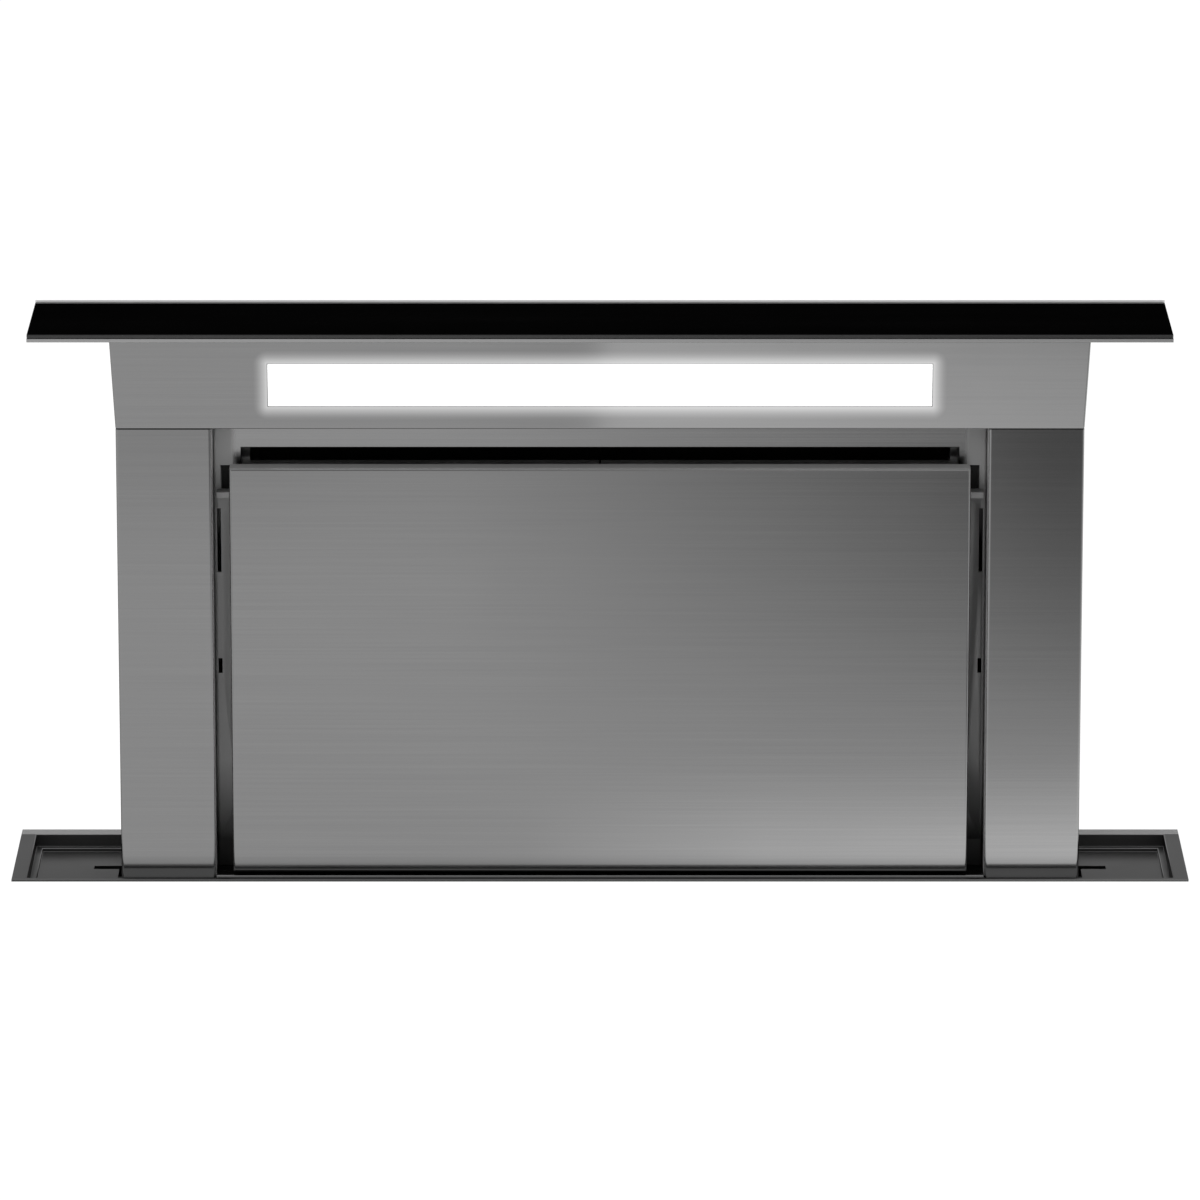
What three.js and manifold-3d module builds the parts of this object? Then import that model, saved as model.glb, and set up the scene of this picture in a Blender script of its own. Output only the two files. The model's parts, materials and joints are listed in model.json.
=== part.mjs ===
// Downdraft vent with a rising column, 36-inch class.
// Millimetres. X runs right, Y runs back, Z runs up. The origin is on the worktop, under the middle of
// the trim's front rim. The column is modelled raised; it travels down until the glass lies flush.
import * as THREE from "three";
import { mergeGeometries, mergeVertices } from "three/addons/utils/BufferGeometryUtils.js";
import Module from "manifold-3d";

const wasm = await Module();
wasm.setup();

// ---------------------------------------------------------------- driving dimensions

// Trim tray in the worktop
const TRIM_WIDTH = 914;
const TRIM_DEPTH = 140;
const TRIM_SHEET = 1.8;
const SIDE_RIM = 12;
const FRONT_RIM = 5;
const REAR_RIM = 14;
const LEDGE_DROP = 10; // rim top down to the ledge
const LEDGE_WIDTH = 5;
const FLOOR_STEP = 3; // ledge down to the tray floor
const NOTCH_FRONT = 68; // recess front to the notch
const NOTCH_LENGTH = 9;
const NOTCH_REACH = 20;

// Glass top and its carrier
const RAISED_HEIGHT = 433.4; // glass top above the worktop
const GLASS_THICKNESS = 3;
const GLASS_EDGE = 0.5;
const CARRIER_THICKNESS = 2.6;
const CARRIER_SKIRT = 10;
const CARRIER_SKIRT_WALL = 1.5;
const CARRIER_LIP = 1.5; // upstand behind the glass
const CARRIER_LIP_RISE = 1.2; // glass top to the lip's top

// Lamp head
const HEAD_HEIGHT = 71;
const HEAD_LEAN = 11.5; // how far the top edge stands forward of the pillars
const HEAD_FLARE = 3.4; // how far each side stands out at the top front corner
const LENS_LENGTH = 510;
const LENS_HEIGHT = 35;
const LENS_THICKNESS = 3;
const LENS_BELOW_TOP = 35.4; // head top to the lens centre, along the slope
const LAMP_DEPTH = 16;
const LAMP_WALL = 1.5;
const BOARD_HEIGHT = 22;
const BOARD_THICKNESS = 1.6;

// Column
const COLUMN_SHEET = 1.2;
const PILLAR_WIDTH = 73.5;
const PILLAR_RETURN = 12;
const COLUMN_TAIL = 60; // column skin below the worktop when raised
const RECESS_DEPTH = 27; // pillar face to recess plate
const BASE_THICKNESS = 1.8;
const BASE_BORDER = 9;

// Recess plate, its opening and its small cut-outs
const OPENING_MARGIN = 22; // pillar to opening, each side
const OPENING_BELOW_HEAD = 21;
const OPENING_ABOVE_SILL = 22;
const OPENING_RETURN = 18;
const NOTCH_HOLE_WIDTH = 9;
const NOTCH_HOLE_HEIGHT = 19;
const NOTCH_HOLE_BELOW_HEAD = 35;
const SLOT_WIDTH = 3.2;
const LONG_SLOT_HEIGHT = 51;
const LONG_SLOT_BELOW_HEAD = 69;
const SHORT_SLOT_HEIGHT = 12;
const SHORT_SLOT_BELOW_HEAD = 189;

// Suction panel and what it hangs on
const PANEL_SIDE_GAP = 13.5;
const PANEL_TOP_GAP = 31;
const PANEL_BOTTOM_GAP = 2.7;
const PANEL_PAN = 15;
const PANEL_SHEET = 1.2;
const PANEL_PROUD = 1;
const HANGER_WIDTH = 20;
const HANGER_SHEET = 1.3;
const HANGER_TOP_BELOW_HEAD = 54;
const LUG_DEPTH = 10;
const LUG_HEIGHT = 5;
const LUG_WIDTH = 12;
const HOOK_WIDTH = 3;
const HOOK_ARM = 6;
const HOOK_LIP = 9;
const HOOK_SIDE_INSET = 3.5; // panel edge to hook
const HOOK_END_INSET = 55; // panel top and bottom to a hook
const UNHOOK_LIFT = 12;

// Grease filters
const FILTER_DEPTH = 10;
const FILTER_FRAME = 9;
const FILTER_STOP = 6; // lip behind the filters
const FILTER_TOP_DROP = 14; // opening top to filter top, hidden by the panel
const BAFFLE_COUNT = 8;
const BAFFLE_SHEET = 1;
const BAFFLE_LIP = 4;
const BAFFLE_OPENING = 4.6; // between neighbouring slats
const BAFFLE_INSET = 1; // frame face to slat face

// Lift
const SHAFT_DROP = 38; // worktop to cross shaft when raised
const SHAFT_RADIUS = 5;
const SHAFT_BACK = 21; // pillar face to shaft
const GEAR_MODULE = 2.5;
const PINION_TEETH = 16;
const PINION_WIDTH = 14;
const PINION_HUB_RADIUS = 11;
const PINION_HUB_LENGTH = 6;
const PRESSURE_ANGLE = THREE.MathUtils.degToRad(20);
const ADDENDUM = 0.95; // in modules
const DEDENDUM = 1.25; // in modules
const GEAR_BACKLASH = 0.36;
const RACK_WIDTH = 17.5;
const RACK_BACKING = 8;
const RAIL_WIDTH = 30;
const RAIL_DEPTH = 22;
const RAIL_SHEET = 2;
const RAIL_LIP = 7;
const RAIL_BEHIND_RACK = 7;
const SHOE_HEIGHT = 36;
const SHOE_SPACING = 56;
const BRACKET_SHEET = 3;
const BRACKET_FACE = 26;
const BUSH_RADIUS = 8;
const BUSH_FLANGE_RADIUS = 12;
const BUSH_FLANGE = 2.5;
const BUSH_LENGTH = 8;
const GEARBOX_WIDTH = 40;
const GEARBOX_DEPTH = 47;
const GEARBOX_HEIGHT = 45;
const GEARBOX_CORNER = 8;
const GEARBOX_ROOM = 1; // pillar sheet to gearbox
const GEARBOX_RAISE = 2; // column bottom to gearbox
const MOTOR_RADIUS = 20;
const MOTOR_LENGTH = 92;
const MOTOR_BEHIND_SHAFT = 17;
const MOTOR_NECK_RADIUS = 14;
const MOTOR_NECK = 6;
const MOTOR_CHAMFER = 3;
const SHAFT_WAY = 1; // shaft to the holes that it only passes through
const SHAFT_END_GAP = 2; // shaft end to housing side

// Housing under the worktop
const HOUSING_INSET = 15; // recess wall to housing side
const HOUSING_SHEET = 1.2;
const HOUSING_FLANGE = 14;
const SIDE_FLANGE = 8.4; // side panel's edge under the tray floor
const SIDE_BAY = 57.5; // housing side to column side
const HEAD_FRONT_GAP = 4.5; // recess wall to the head's top edge
const COLUMN_REAR_GAP = 10; // recess wall to the column's back
const PAN_EDGE = 10;
const BOTTOM_ROOM = 14; // lowered column to the bottom pan
const BRACKET_TOP_DROP = 20; // worktop to the top of the shoe brackets
const FOOT_HEIGHT = 40;
const FOOT_SHEET = 2.5;
const FOOT_SPAN = 60;
const FOOT_LAND = 22;
const FOOT_INSET = 110; // housing side to floor bracket centre

// Blower
const IMPELLER_RADIUS = 80;
const IMPELLER_WIDTH = 78;
const IMPELLER_DISC = 2;
const IMPELLER_RING = 3;
const RING_LAP = 1; // ring past the blades' inner edges
const BLADE_INSET = 1.2; // wheel's rim to the blades' outer edges
const BLADE_COUNT = 28;
const BLADE_CHORD = 14;
const BLADE_THICKNESS = 1.2;
const BLADE_SWEEP = THREE.MathUtils.degToRad(9.5); // inner end to outer end, round the hub
const BLADE_BOW = 3;
const BLADE_STEPS = 2;
const HUB_RADIUS = 13;
const HUB_LENGTH = 22;
const MOTOR_SHAFT_RADIUS = 4;
const MOTOR_SHAFT_END = 2; // shaft past the hub
const FAN_MOTOR_RADIUS = 44;
const FAN_MOTOR_LENGTH = 44;
const FAN_MOTOR_CHAMFER = 4;
const FAN_MOTOR_BOSS = 8; // height of the boss on its tail
const FAN_MOTOR_BOSS_RADIUS = 32;
const FAN_MOTOR_HOLE_GAP = 2; // motor to the scroll's front wall
const MOTOR_MOUNT_BORE = 16;
const MOTOR_MOUNT_RADIUS = 62;
const MOTOR_MOUNT_SHEET = 2;
const SCROLL_SHEET = 1.2;
const SCROLL_START = 88;
const SCROLL_END = 150;
const SCROLL_TURN = 2.5 * Math.PI; // from +X, past the tongue, round to straight up
const SCROLL_STEPS = 24;
const SCROLL_SIDE_GAP = 8; // impeller to scroll wall
const COLLAR_EDGE = 2; // case edge to collar flange
const MOTOR_ROOM = 10; // motor and mount to cover
const MOUTH_HEIGHT = 110;
const CASE_SHEET = 1.5;
const CASE_GAP = 16; // scroll to case
const CASE_FLANGE = 12;
const CASE_CORNER = 6;
const INLET_RADIUS = 66;
const INLET_FLARE = 6;
const INLET_FLANGE = 18; // throat to the flange's rim
const COLLAR_RADIUS = 74.5;
const COLLAR_WALL = 1.2;
const COLLAR_LENGTH = 100;
const COLLAR_FLANGE = 7;
const DAMPER_BACK = 24; // case wall to damper pin
const DAMPER_PIN_RADIUS = 2.5;
const FLAP_SHEET = 1.2;
const KNUCKLE_RADIUS = 4.6;
const KNUCKLE_COUNT = 5; // shared by both flaps in turn
const KNUCKLE_INSET = 7; // flap rim to the first knuckle
const KNUCKLE_STRAP = 2; // flap plate past a knuckle
const PIN_END = 2; // damper pin past the collar
const BLOWER_FOOT_RADIUS = 18;
const BLOWER_FOOT_DISC = 6;
const BLOWER_FOOT_STUD = 5;
const BLOWER_FOOT_INSET = 28;
const CASE_ABOVE_PAN = 6; // housing bottom up to the blower case

// Control box
const CONTROL_WIDTH = 130;
const CONTROL_HEIGHT = 96;
const CONTROL_DEPTH = 42;
const CONTROL_WALL = 2;
const CONTROL_CORNER = 5;
const CONTROL_INSET = 90; // housing side to the box
const CONTROL_DROP = 240; // worktop to the box top
const GLAND_RADIUS = 10;
const GLAND_BORE = 4;
const GLAND_LENGTH = 16;
const GLAND_TIP_RADIUS = 8;
const GLAND_NECK_RADIUS = 7;
const GLAND_NECK = 8; // thread inside the box

// Clearances
const GAP = 0.3; // between pieces that touch
const RUNNING = 0.1; // between a shaft and its bush
const FLAP_GAP = 1.3;
const GLASS_GAP = 6; // recess wall to glass, sides
const GLASS_GAP_DEPTH = 3.5; // recess wall to glass, front and back
const COLUMN_SIDE_GAP = 4.5; // column to tray cut-out, ahead of the notch
const COLUMN_TIGHT_GAP = 2; // column to tray cut-out, behind the notch
const CUTOUT_FRONT_GAP = 2; // recess wall to the cut-out
const CUTOUT_REAR_GAP = 1.5; // column to the cut-out
const SHOE_GAP = 0.5;

// Shaping
const BEND = 0.8; // inner radius of a bend in sheet
const BEND_STEPS = 3;
const PAST = 1; // how far a cut runs past the face that it opens
const ROUND = 32; // sides of a large circle
const SMALL_ROUND = 20; // sides of a small circle
const KNUCKLE_SIDES = 10;

// ---------------------------------------------------------------- derived places

const trimFront = -FRONT_RIM / 2;
const recessFront = trimFront + FRONT_RIM;
const recessRear = trimFront + TRIM_DEPTH - REAR_RIM;
const recessHalf = TRIM_WIDTH / 2 - SIDE_RIM;
const ledgeTop = TRIM_SHEET - LEDGE_DROP;
const floorTop = ledgeTop - FLOOR_STEP;
const underTray = floorTop - TRIM_SHEET - GAP;

const housingHalf = recessHalf - HOUSING_INSET;
const housingInner = housingHalf - HOUSING_SHEET;
const housingFront = recessFront + HOUSING_SHEET;
const housingRear = recessRear;
const columnHalf = housingHalf - SIDE_BAY;
const headFront = recessFront + HEAD_FRONT_GAP;
const columnFront = headFront + HEAD_LEAN;
const columnRear = recessRear - COLUMN_REAR_GAP;
const pillarInner = columnHalf - PILLAR_WIDTH;
const columnBottom = -COLUMN_TAIL;

const glassBottom = RAISED_HEIGHT - GLASS_THICKNESS;
const headTop = glassBottom - CARRIER_THICKNESS - 2 * GAP;
const headBottom = headTop - HEAD_HEIGHT;
const glassHalf = recessHalf - GLASS_GAP;
const glassFront = recessFront + GLASS_GAP_DEPTH;
const glassRear = recessRear - GLASS_GAP_DEPTH;
const travel = RAISED_HEIGHT - TRIM_SHEET;

const sillTop = -0.8;
const recessPlate = columnFront + RECESS_DEPTH;
const openingHalf = pillarInner - OPENING_MARGIN;
const openingTop = headBottom - OPENING_BELOW_HEAD;
const openingBottom = sillTop + OPENING_ABOVE_SILL;
const backPanelFront = columnRear - COLUMN_SHEET;

const panelHalf = pillarInner - PANEL_SIDE_GAP;
const panelTop = headBottom - PANEL_TOP_GAP;
const panelBottom = sillTop + PANEL_BOTTOM_GAP;
const panelFront = columnFront - PANEL_PROUD;
const hookCentre = panelHalf - HOOK_SIDE_INSET;
const hookHeights = [panelBottom + HOOK_END_INSET, panelTop - HOOK_END_INSET];
const hangerTop = headBottom - HANGER_TOP_BELOW_HEAD;
const hangerFront = recessPlate - GAP - HANGER_SHEET;

const shaftY = columnFront + SHAFT_BACK;
const shaftZ = -SHAFT_DROP;
const pitchRadius = (GEAR_MODULE * PINION_TEETH) / 2;
const toothPitch = Math.PI * GEAR_MODULE;
const rackPitchLine = shaftY + pitchRadius;
const rackBack = rackPitchLine + DEDENDUM * GEAR_MODULE + RACK_BACKING;
const gearCentre = housingInner - GAP - RACK_WIDTH / 2;
const railFront = rackBack + RAIL_BEHIND_RACK;
const railCentre = railFront + RAIL_WIDTH / 2;
const bracketBottom = -(BRACKET_TOP_DROP + 2 * SHOE_HEIGHT + SHOE_SPACING);
const panTop = bracketBottom - travel - BOTTOM_ROOM;
const housingBottom = panTop - HOUSING_SHEET;
const floorLevel = housingBottom - FOOT_HEIGHT;
const railTop = underTray - GAP;
const railBottom = panTop + PAN_EDGE + GAP;

const blowerY = housingFront - GAP;
const caseRight = scrollRadius(THREE.MathUtils.degToRad(360)) + CASE_GAP;
const caseLeft = SCROLL_END;
const caseBelow = scrollRadius(THREE.MathUtils.degToRad(270)) + CASE_GAP;
const mouthCentre = SCROLL_END - MOUTH_HEIGHT / 2;
const caseAbove = Math.max(mouthCentre + COLLAR_RADIUS + COLLAR_FLANGE, SCROLL_END + CASE_GAP);
const blowerZ = housingBottom + CASE_ABOVE_PAN + caseBelow;
const collarCentre = -COLLAR_RADIUS - COLLAR_FLANGE - COLLAR_EDGE;
const impellerRear = collarCentre + IMPELLER_WIDTH / 2;
const impellerFront = collarCentre - IMPELLER_WIDTH / 2;
const scrollRear = impellerRear + SCROLL_SIDE_GAP + SCROLL_SHEET;
const scrollFront = impellerFront - SCROLL_SIDE_GAP - SCROLL_SHEET;
const caseDepth = FAN_MOTOR_LENGTH + MOTOR_ROOM - scrollFront;

// ---------------------------------------------------------------- finishes

const finish = (color, roughness, metalness) => () =>
  new THREE.MeshStandardMaterial({ color, roughness, metalness });
const brushedSteel = finish(0x8f8f8f, 0.36, 1);
const trimSteel = finish(0x6f7072, 0.32, 1);
const blackGlass = finish(0x050506, 0.05, 0);
const opal = finish(0xffffff, 0.4, 0);
const zinc = finish(0xa9adb0, 0.45, 0.9);
const bareSteel = finish(0x7d8084, 0.4, 1);
const aluminium = finish(0xb9bbbe, 0.35, 1);
const nylon = finish(0xe6e2d6, 0.6, 0);
const blackPlastic = finish(0x1c1d1f, 0.55, 0);
const whiteBoard = finish(0xe9ebe6, 0.6, 0);
const motorBlack = finish(0x2a2b2d, 0.5, 0.4);

// ---------------------------------------------------------------- shaping helpers

/** A closed geometry as a solid that can be joined and cut. */
function solid(geometry) {
  const plain = geometry.index ? geometry.toNonIndexed() : geometry.clone();
  plain.deleteAttribute("normal");
  plain.deleteAttribute("uv");
  const merged = mergeVertices(plain, 1e-4);
  return new wasm.Manifold(
    new wasm.Mesh({
      numProp: 3,
      vertProperties: merged.attributes.position.array,
      triVerts: new Uint32Array(merged.index.array),
    }),
  );
}

/** A solid back as a geometry. */
function geometryOf(made) {
  const mesh = made.getMesh();
  const geometry = new THREE.BufferGeometry();
  geometry.setAttribute("position", new THREE.BufferAttribute(mesh.vertProperties, 3));
  geometry.setIndex(new THREE.BufferAttribute(mesh.triVerts, 1));
  return geometry;
}

const quarterTurn = 90;
const join = (first, ...rest) => rest.reduce((all, next) => all.add(next), first);
const cut = (first, ...rest) => rest.reduce((left, next) => left.subtract(next), first);

/** A block between two corners. */
function block([x0, x1], [y0, y1], [z0, z1]) {
  const geometry = new THREE.BoxGeometry(x1 - x0, y1 - y0, z1 - z0);
  geometry.translate((x0 + x1) / 2, (y0 + y1) / 2, (z0 + z1) / 2);
  return solid(geometry);
}

/** An outline of [u, v] points raised by a depth, less its holes. */
function prism(points, depth, holes = []) {
  const raised = (outline) => {
    const shape = new THREE.Shape(outline.map(([u, v]) => new THREE.Vector2(u, v)));
    return solid(new THREE.ExtrudeGeometry(shape, { depth, bevelEnabled: false }));
  };
  return cut(raised(points), ...holes.map(raised));
}

/** An (x, y) outline raised from z0 to z1. */
function upright(points, [z0, z1], holes) {
  return prism(points, z1 - z0, holes).translate([0, 0, z0]);
}

/** A (y, z) outline run along X from x0 to x1. */
function along(points, [x0, x1], holes) {
  return prism(points, x1 - x0, holes).rotate([quarterTurn, 0, quarterTurn]).translate([x0, 0, 0]);
}

/** An (x, z) outline run along Y from y0 to y1. */
function deep(points, [y0, y1], holes) {
  return prism(points, y1 - y0, holes).rotate([quarterTurn, 0, 0]).translate([0, y1, 0]);
}

const rectangle = (u0, u1, v0, v1) => [[u0, v0], [u1, v0], [u1, v1], [u0, v1]];

/** Points of a circle, or of an arc between two angles. */
function arc(radius, sides, [from, to] = [0, 2 * Math.PI], [cu, cv] = [0, 0]) {
  const open = Math.abs(to - from) < 2 * Math.PI - 1e-9;
  return Array.from({ length: open ? sides + 1 : sides }, (_, i) => {
    const angle = from + ((to - from) * i) / sides;
    return [cu + radius * Math.cos(angle), cv + radius * Math.sin(angle)];
  });
}

/** A rectangle with round corners. */
function softRectangle(u0, u1, v0, v1, radius) {
  const corner = (u, v, quarter) =>
    arc(radius, BEND_STEPS, [quarter, quarter + 1].map((count) => (count * Math.PI) / 2), [u, v]);
  return [
    ...corner(u1 - radius, v1 - radius, 0),
    ...corner(u0 + radius, v1 - radius, 1),
    ...corner(u0 + radius, v0 + radius, 2),
    ...corner(u1 - radius, v0 + radius, 3),
  ];
}

/**
 * The section of a bent sheet. The corners lie on one of its faces, its thickness is to the left of
 * the way they run, and every bend has the same inner radius.
 */
function folded(corners, sheet) {
  const points = corners.map(([u, v]) => new THREE.Vector2(u, v));
  const ways = points.slice(1).map((point, i) => point.clone().sub(points[i]).normalize());
  const leftOf = (way) => new THREE.Vector2(-way.y, way.x);
  const near = [points[0]];
  const far = [points[0].clone().addScaledVector(leftOf(ways[0]), sheet)];
  for (let i = 1; i < ways.length; i += 1) {
    const turn = Math.atan2(ways[i - 1].cross(ways[i]), ways[i - 1].dot(ways[i]));
    const toCentre = turn > 0 ? BEND + sheet : -BEND;
    const before = Math.abs(toCentre * Math.tan(turn / 2));
    const centre = points[i]
      .clone()
      .addScaledVector(ways[i - 1], -before)
      .addScaledVector(leftOf(ways[i - 1]), toCentre);
    for (let step = 0; step <= BEND_STEPS; step += 1) {
      const out = leftOf(ways[i - 1]).rotateAround(new THREE.Vector2(), (turn * step) / BEND_STEPS);
      near.push(centre.clone().addScaledVector(out, -toCentre));
      far.push(centre.clone().addScaledVector(out, sheet - toCentre));
    }
  }
  near.push(points.at(-1));
  far.push(points.at(-1).clone().addScaledVector(leftOf(ways.at(-1)), sheet));
  return [...near, ...far.reverse()].map((point) => [point.x, point.y]);
}

/** A block whose front and back edges are round. */
function softBlock([x0, x1], [y0, y1], [z0, z1], radius) {
  const face = rectangle(x0 + radius, x1 - radius, z0 + radius, z1 - radius);
  const geometry = new THREE.ExtrudeGeometry(new THREE.Shape(face.map(([x, z]) => new THREE.Vector2(x, z))), {
    depth: y1 - y0 - 2 * radius,
    bevelThickness: radius,
    bevelSize: radius,
    bevelSegments: BEND_STEPS,
  });
  return solid(geometry.rotateX(Math.PI / 2).translate(0, y1 - radius, 0));
}

/** An [r, h] profile turned about the Z axis; the profile closes on itself. */
function turned(profile, sides = ROUND) {
  const points = profile.map(([r, h]) => new THREE.Vector2(r, h));
  if (THREE.ShapeUtils.area(points) < 0) points.reverse();
  const geometry = new THREE.LatheGeometry([...points, points[0]], sides);
  return solid(geometry.rotateX(Math.PI / 2));
}

/** A plain round bar about the Z axis. */
function bar(radius, [z0, z1], sides = SMALL_ROUND) {
  const geometry = new THREE.CylinderGeometry(radius, radius, z1 - z0, sides);
  return solid(geometry.rotateX(Math.PI / 2).translate(0, 0, (z0 + z1) / 2));
}

const ontoX = (made) => made.rotate([0, quarterTurn, 0]);
const ontoY = (made) => made.rotate([-quarterTurn, 0, 0]);
const ontoFront = (made) => made.rotate([quarterTurn, 0, 0]);
const mirrored = (made) => made.mirror([1, 0, 0]);

/** A wedge-like body between a lower and an upper four-cornered outline. */
function loft(lower, z0, upper, z1) {
  const corners = [...lower.map(([x, y]) => [x, y, z0]), ...upper.map(([x, y]) => [x, y, z1])];
  const sides = [0, 1, 2, 3].flatMap((i) => {
    const next = (i + 1) % 4;
    return [i, next, next + 4, i, next + 4, i + 4];
  });
  const geometry = new THREE.BufferGeometry();
  geometry.setAttribute("position", new THREE.Float32BufferAttribute(corners.flat(), 3));
  geometry.setIndex([...sides, 0, 2, 1, 0, 3, 2, 4, 5, 6, 4, 6, 7]);
  return solid(geometry);
}

/** A named mesh in a group. */
function piece(parent, name, made, material) {
  const mesh = new THREE.Mesh(geometryOf(made), material());
  mesh.name = name;
  parent.add(mesh);
}

/** The same piece on the right and, mirrored, on the left. */
function pair(parent, name, made, material) {
  piece(parent, `right_${name}`, made, material);
  piece(parent, `left_${name}`, mirrored(made), material);
}

// ---------------------------------------------------------------- trim tray

function trimTray() {
  const ring = (outer, inner, heights) => upright(outer, heights, [inner]);
  const around = (grow) =>
    rectangle(-recessHalf - grow, recessHalf + grow, recessFront - grow, recessRear + grow);
  const outline = rectangle(-TRIM_WIDTH / 2, TRIM_WIDTH / 2, trimFront, trimFront + TRIM_DEPTH);
  const stepped = -LEDGE_WIDTH;
  const floor = upright(around(stepped + TRIM_SHEET), [floorTop - TRIM_SHEET, floorTop]);
  const tray = join(
    ring(outline, around(0), [0, TRIM_SHEET]),
    ring(around(TRIM_SHEET), around(0), [ledgeTop - TRIM_SHEET, TRIM_SHEET / 2]),
    ring(around(TRIM_SHEET), around(stepped), [ledgeTop - TRIM_SHEET, ledgeTop]),
    ring(around(stepped + TRIM_SHEET), around(stepped), [floorTop - TRIM_SHEET, ledgeTop]),
    floor,
  );
  return cut(tray, columnPassage());
}

/** The hole in the tray floor: wide ahead of the notch, tight behind it. */
function columnPassage() {
  const wide = columnHalf + COLUMN_SIDE_GAP;
  const tight = columnHalf + COLUMN_TIGHT_GAP;
  const front = recessFront + CUTOUT_FRONT_GAP;
  const notch = recessFront + NOTCH_FRONT;
  const rear = columnRear + CUTOUT_REAR_GAP;
  const right = [
    [wide, front],
    [wide, notch],
    [wide + NOTCH_REACH, notch],
    [wide + NOTCH_REACH, notch + NOTCH_LENGTH],
    [tight, notch + NOTCH_LENGTH],
    [tight, rear],
  ];
  const left = right.map(([x, y]) => [-x, y]).reverse();
  return upright([...right, ...left], [floorTop - 2 * TRIM_SHEET, TRIM_SHEET / 2]);
}

// ---------------------------------------------------------------- housing

/** A panel in plan: a flat face with a flange turned in at each side; inward is +1 at the front. */
function flangedPanel(half, face, inward) {
  const side = inward * half;
  const tip = face + inward * HOUSING_FLANGE;
  const corners = [
    [-side, tip],
    [-side, face],
    [side, face],
    [side, tip],
  ];
  return folded(corners, HOUSING_SHEET);
}

function housing(parent) {
  const group = new THREE.Group();
  parent.add(group);
  const half = housingInner - GAP;
  const height = [housingBottom, underTray];
  const front = upright(flangedPanel(half, housingFront, 1), height);
  const inletHole = ontoY(bar(INLET_RADIUS + INLET_FLARE, [-HOUSING_FLANGE, HOUSING_FLANGE], ROUND));
  piece(group, "trim_tray", trimTray(), trimSteel);
  const opened = cut(front, inletHole.translate([0, housingFront, blowerZ]));
  piece(group, "housing_front_panel", opened, zinc);
  piece(group, "housing_rear_panel", upright(flangedPanel(half, housingRear, -1), height), zinc);
  pair(group, "housing_panel", sidePanel(), zinc);
  piece(group, "housing_bottom_pan", bottomPan(half), zinc);
  pair(group, "floor_bracket", floorBracket(), zinc);
}

/** Side panel with a flange turned out under the tray floor. */
function sidePanel() {
  const corners = [
    [housingHalf + SIDE_FLANGE, underTray],
    [housingInner, underTray],
    [housingInner, housingBottom],
  ];
  return deep(folded(corners, HOUSING_SHEET), [housingFront, housingRear]);
}

function bottomPan(panelHalfWidth) {
  const half = panelHalfWidth - HOUSING_SHEET - GAP;
  const front = housingFront + HOUSING_SHEET + GAP;
  const rear = housingRear - HOUSING_SHEET - GAP;
  const body = block([-half, half], [front, rear], [housingBottom, panTop + PAN_EDGE]);
  const inside = block(
    [-half + HOUSING_SHEET, half - HOUSING_SHEET],
    [front + HOUSING_SHEET, rear - HOUSING_SHEET],
    [panTop, panTop + 2 * PAN_EDGE],
  );
  return cut(body, inside);
}

/** A hat-section bracket that carries the housing on the cabinet floor. */
function floorBracket() {
  const centre = housingHalf - FOOT_INSET;
  const top = housingBottom - GAP;
  const land = floorLevel + FOOT_SHEET;
  const outer = FOOT_SPAN / 2;
  const corners = [
    [outer + FOOT_LAND, land],
    [outer, land],
    [outer, top],
    [-outer, top],
    [-outer, land],
    [-outer - FOOT_LAND, land],
  ];
  const outline = folded(corners, FOOT_SHEET).map(([x, z]) => [centre + x, z]);
  return deep(outline, [housingFront, housingRear]);
}

// ---------------------------------------------------------------- gears

/** The outline of an involute pinion about its own centre, one tooth pointing at +u. */
function pinionOutline() {
  const base = pitchRadius * Math.cos(PRESSURE_ANGLE);
  const tip = pitchRadius + ADDENDUM * GEAR_MODULE;
  const root = pitchRadius - DEDENDUM * GEAR_MODULE;
  const spread = (radius) => {
    const roll = Math.acos(Math.min(1, base / radius));
    return Math.tan(roll) - roll;
  };
  const halfAtPitch = (toothPitch / 2 - GEAR_BACKLASH / 2) / 2 / pitchRadius;
  const halfAt = (radius) => halfAtPitch + spread(pitchRadius) - spread(Math.max(radius, base));
  const radii = [root, base, pitchRadius, tip];
  return Array.from({ length: PINION_TEETH }, (_, tooth) => {
    const middle = (tooth * 2 * Math.PI) / PINION_TEETH;
    const flank = (side) => (radius) => {
      const angle = middle + side * halfAt(radius);
      return [radius * Math.cos(angle), radius * Math.sin(angle)];
    };
    return [...radii.map(flank(-1)), ...radii.map(flank(1)).reverse()];
  }).flat();
}

function pinion() {
  const bore = arc(SHAFT_RADIUS + GAP, SMALL_ROUND);
  const teeth = along(pinionOutline(), [-PINION_WIDTH / 2, PINION_WIDTH / 2], [bore]);
  const hub = along(
    arc(PINION_HUB_RADIUS, SMALL_ROUND),
    [-PINION_WIDTH / 2 - PINION_HUB_LENGTH, 0],
    [bore],
  );
  return teeth.add(hub).translate([gearCentre, shaftY, shaftZ]);
}

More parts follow.
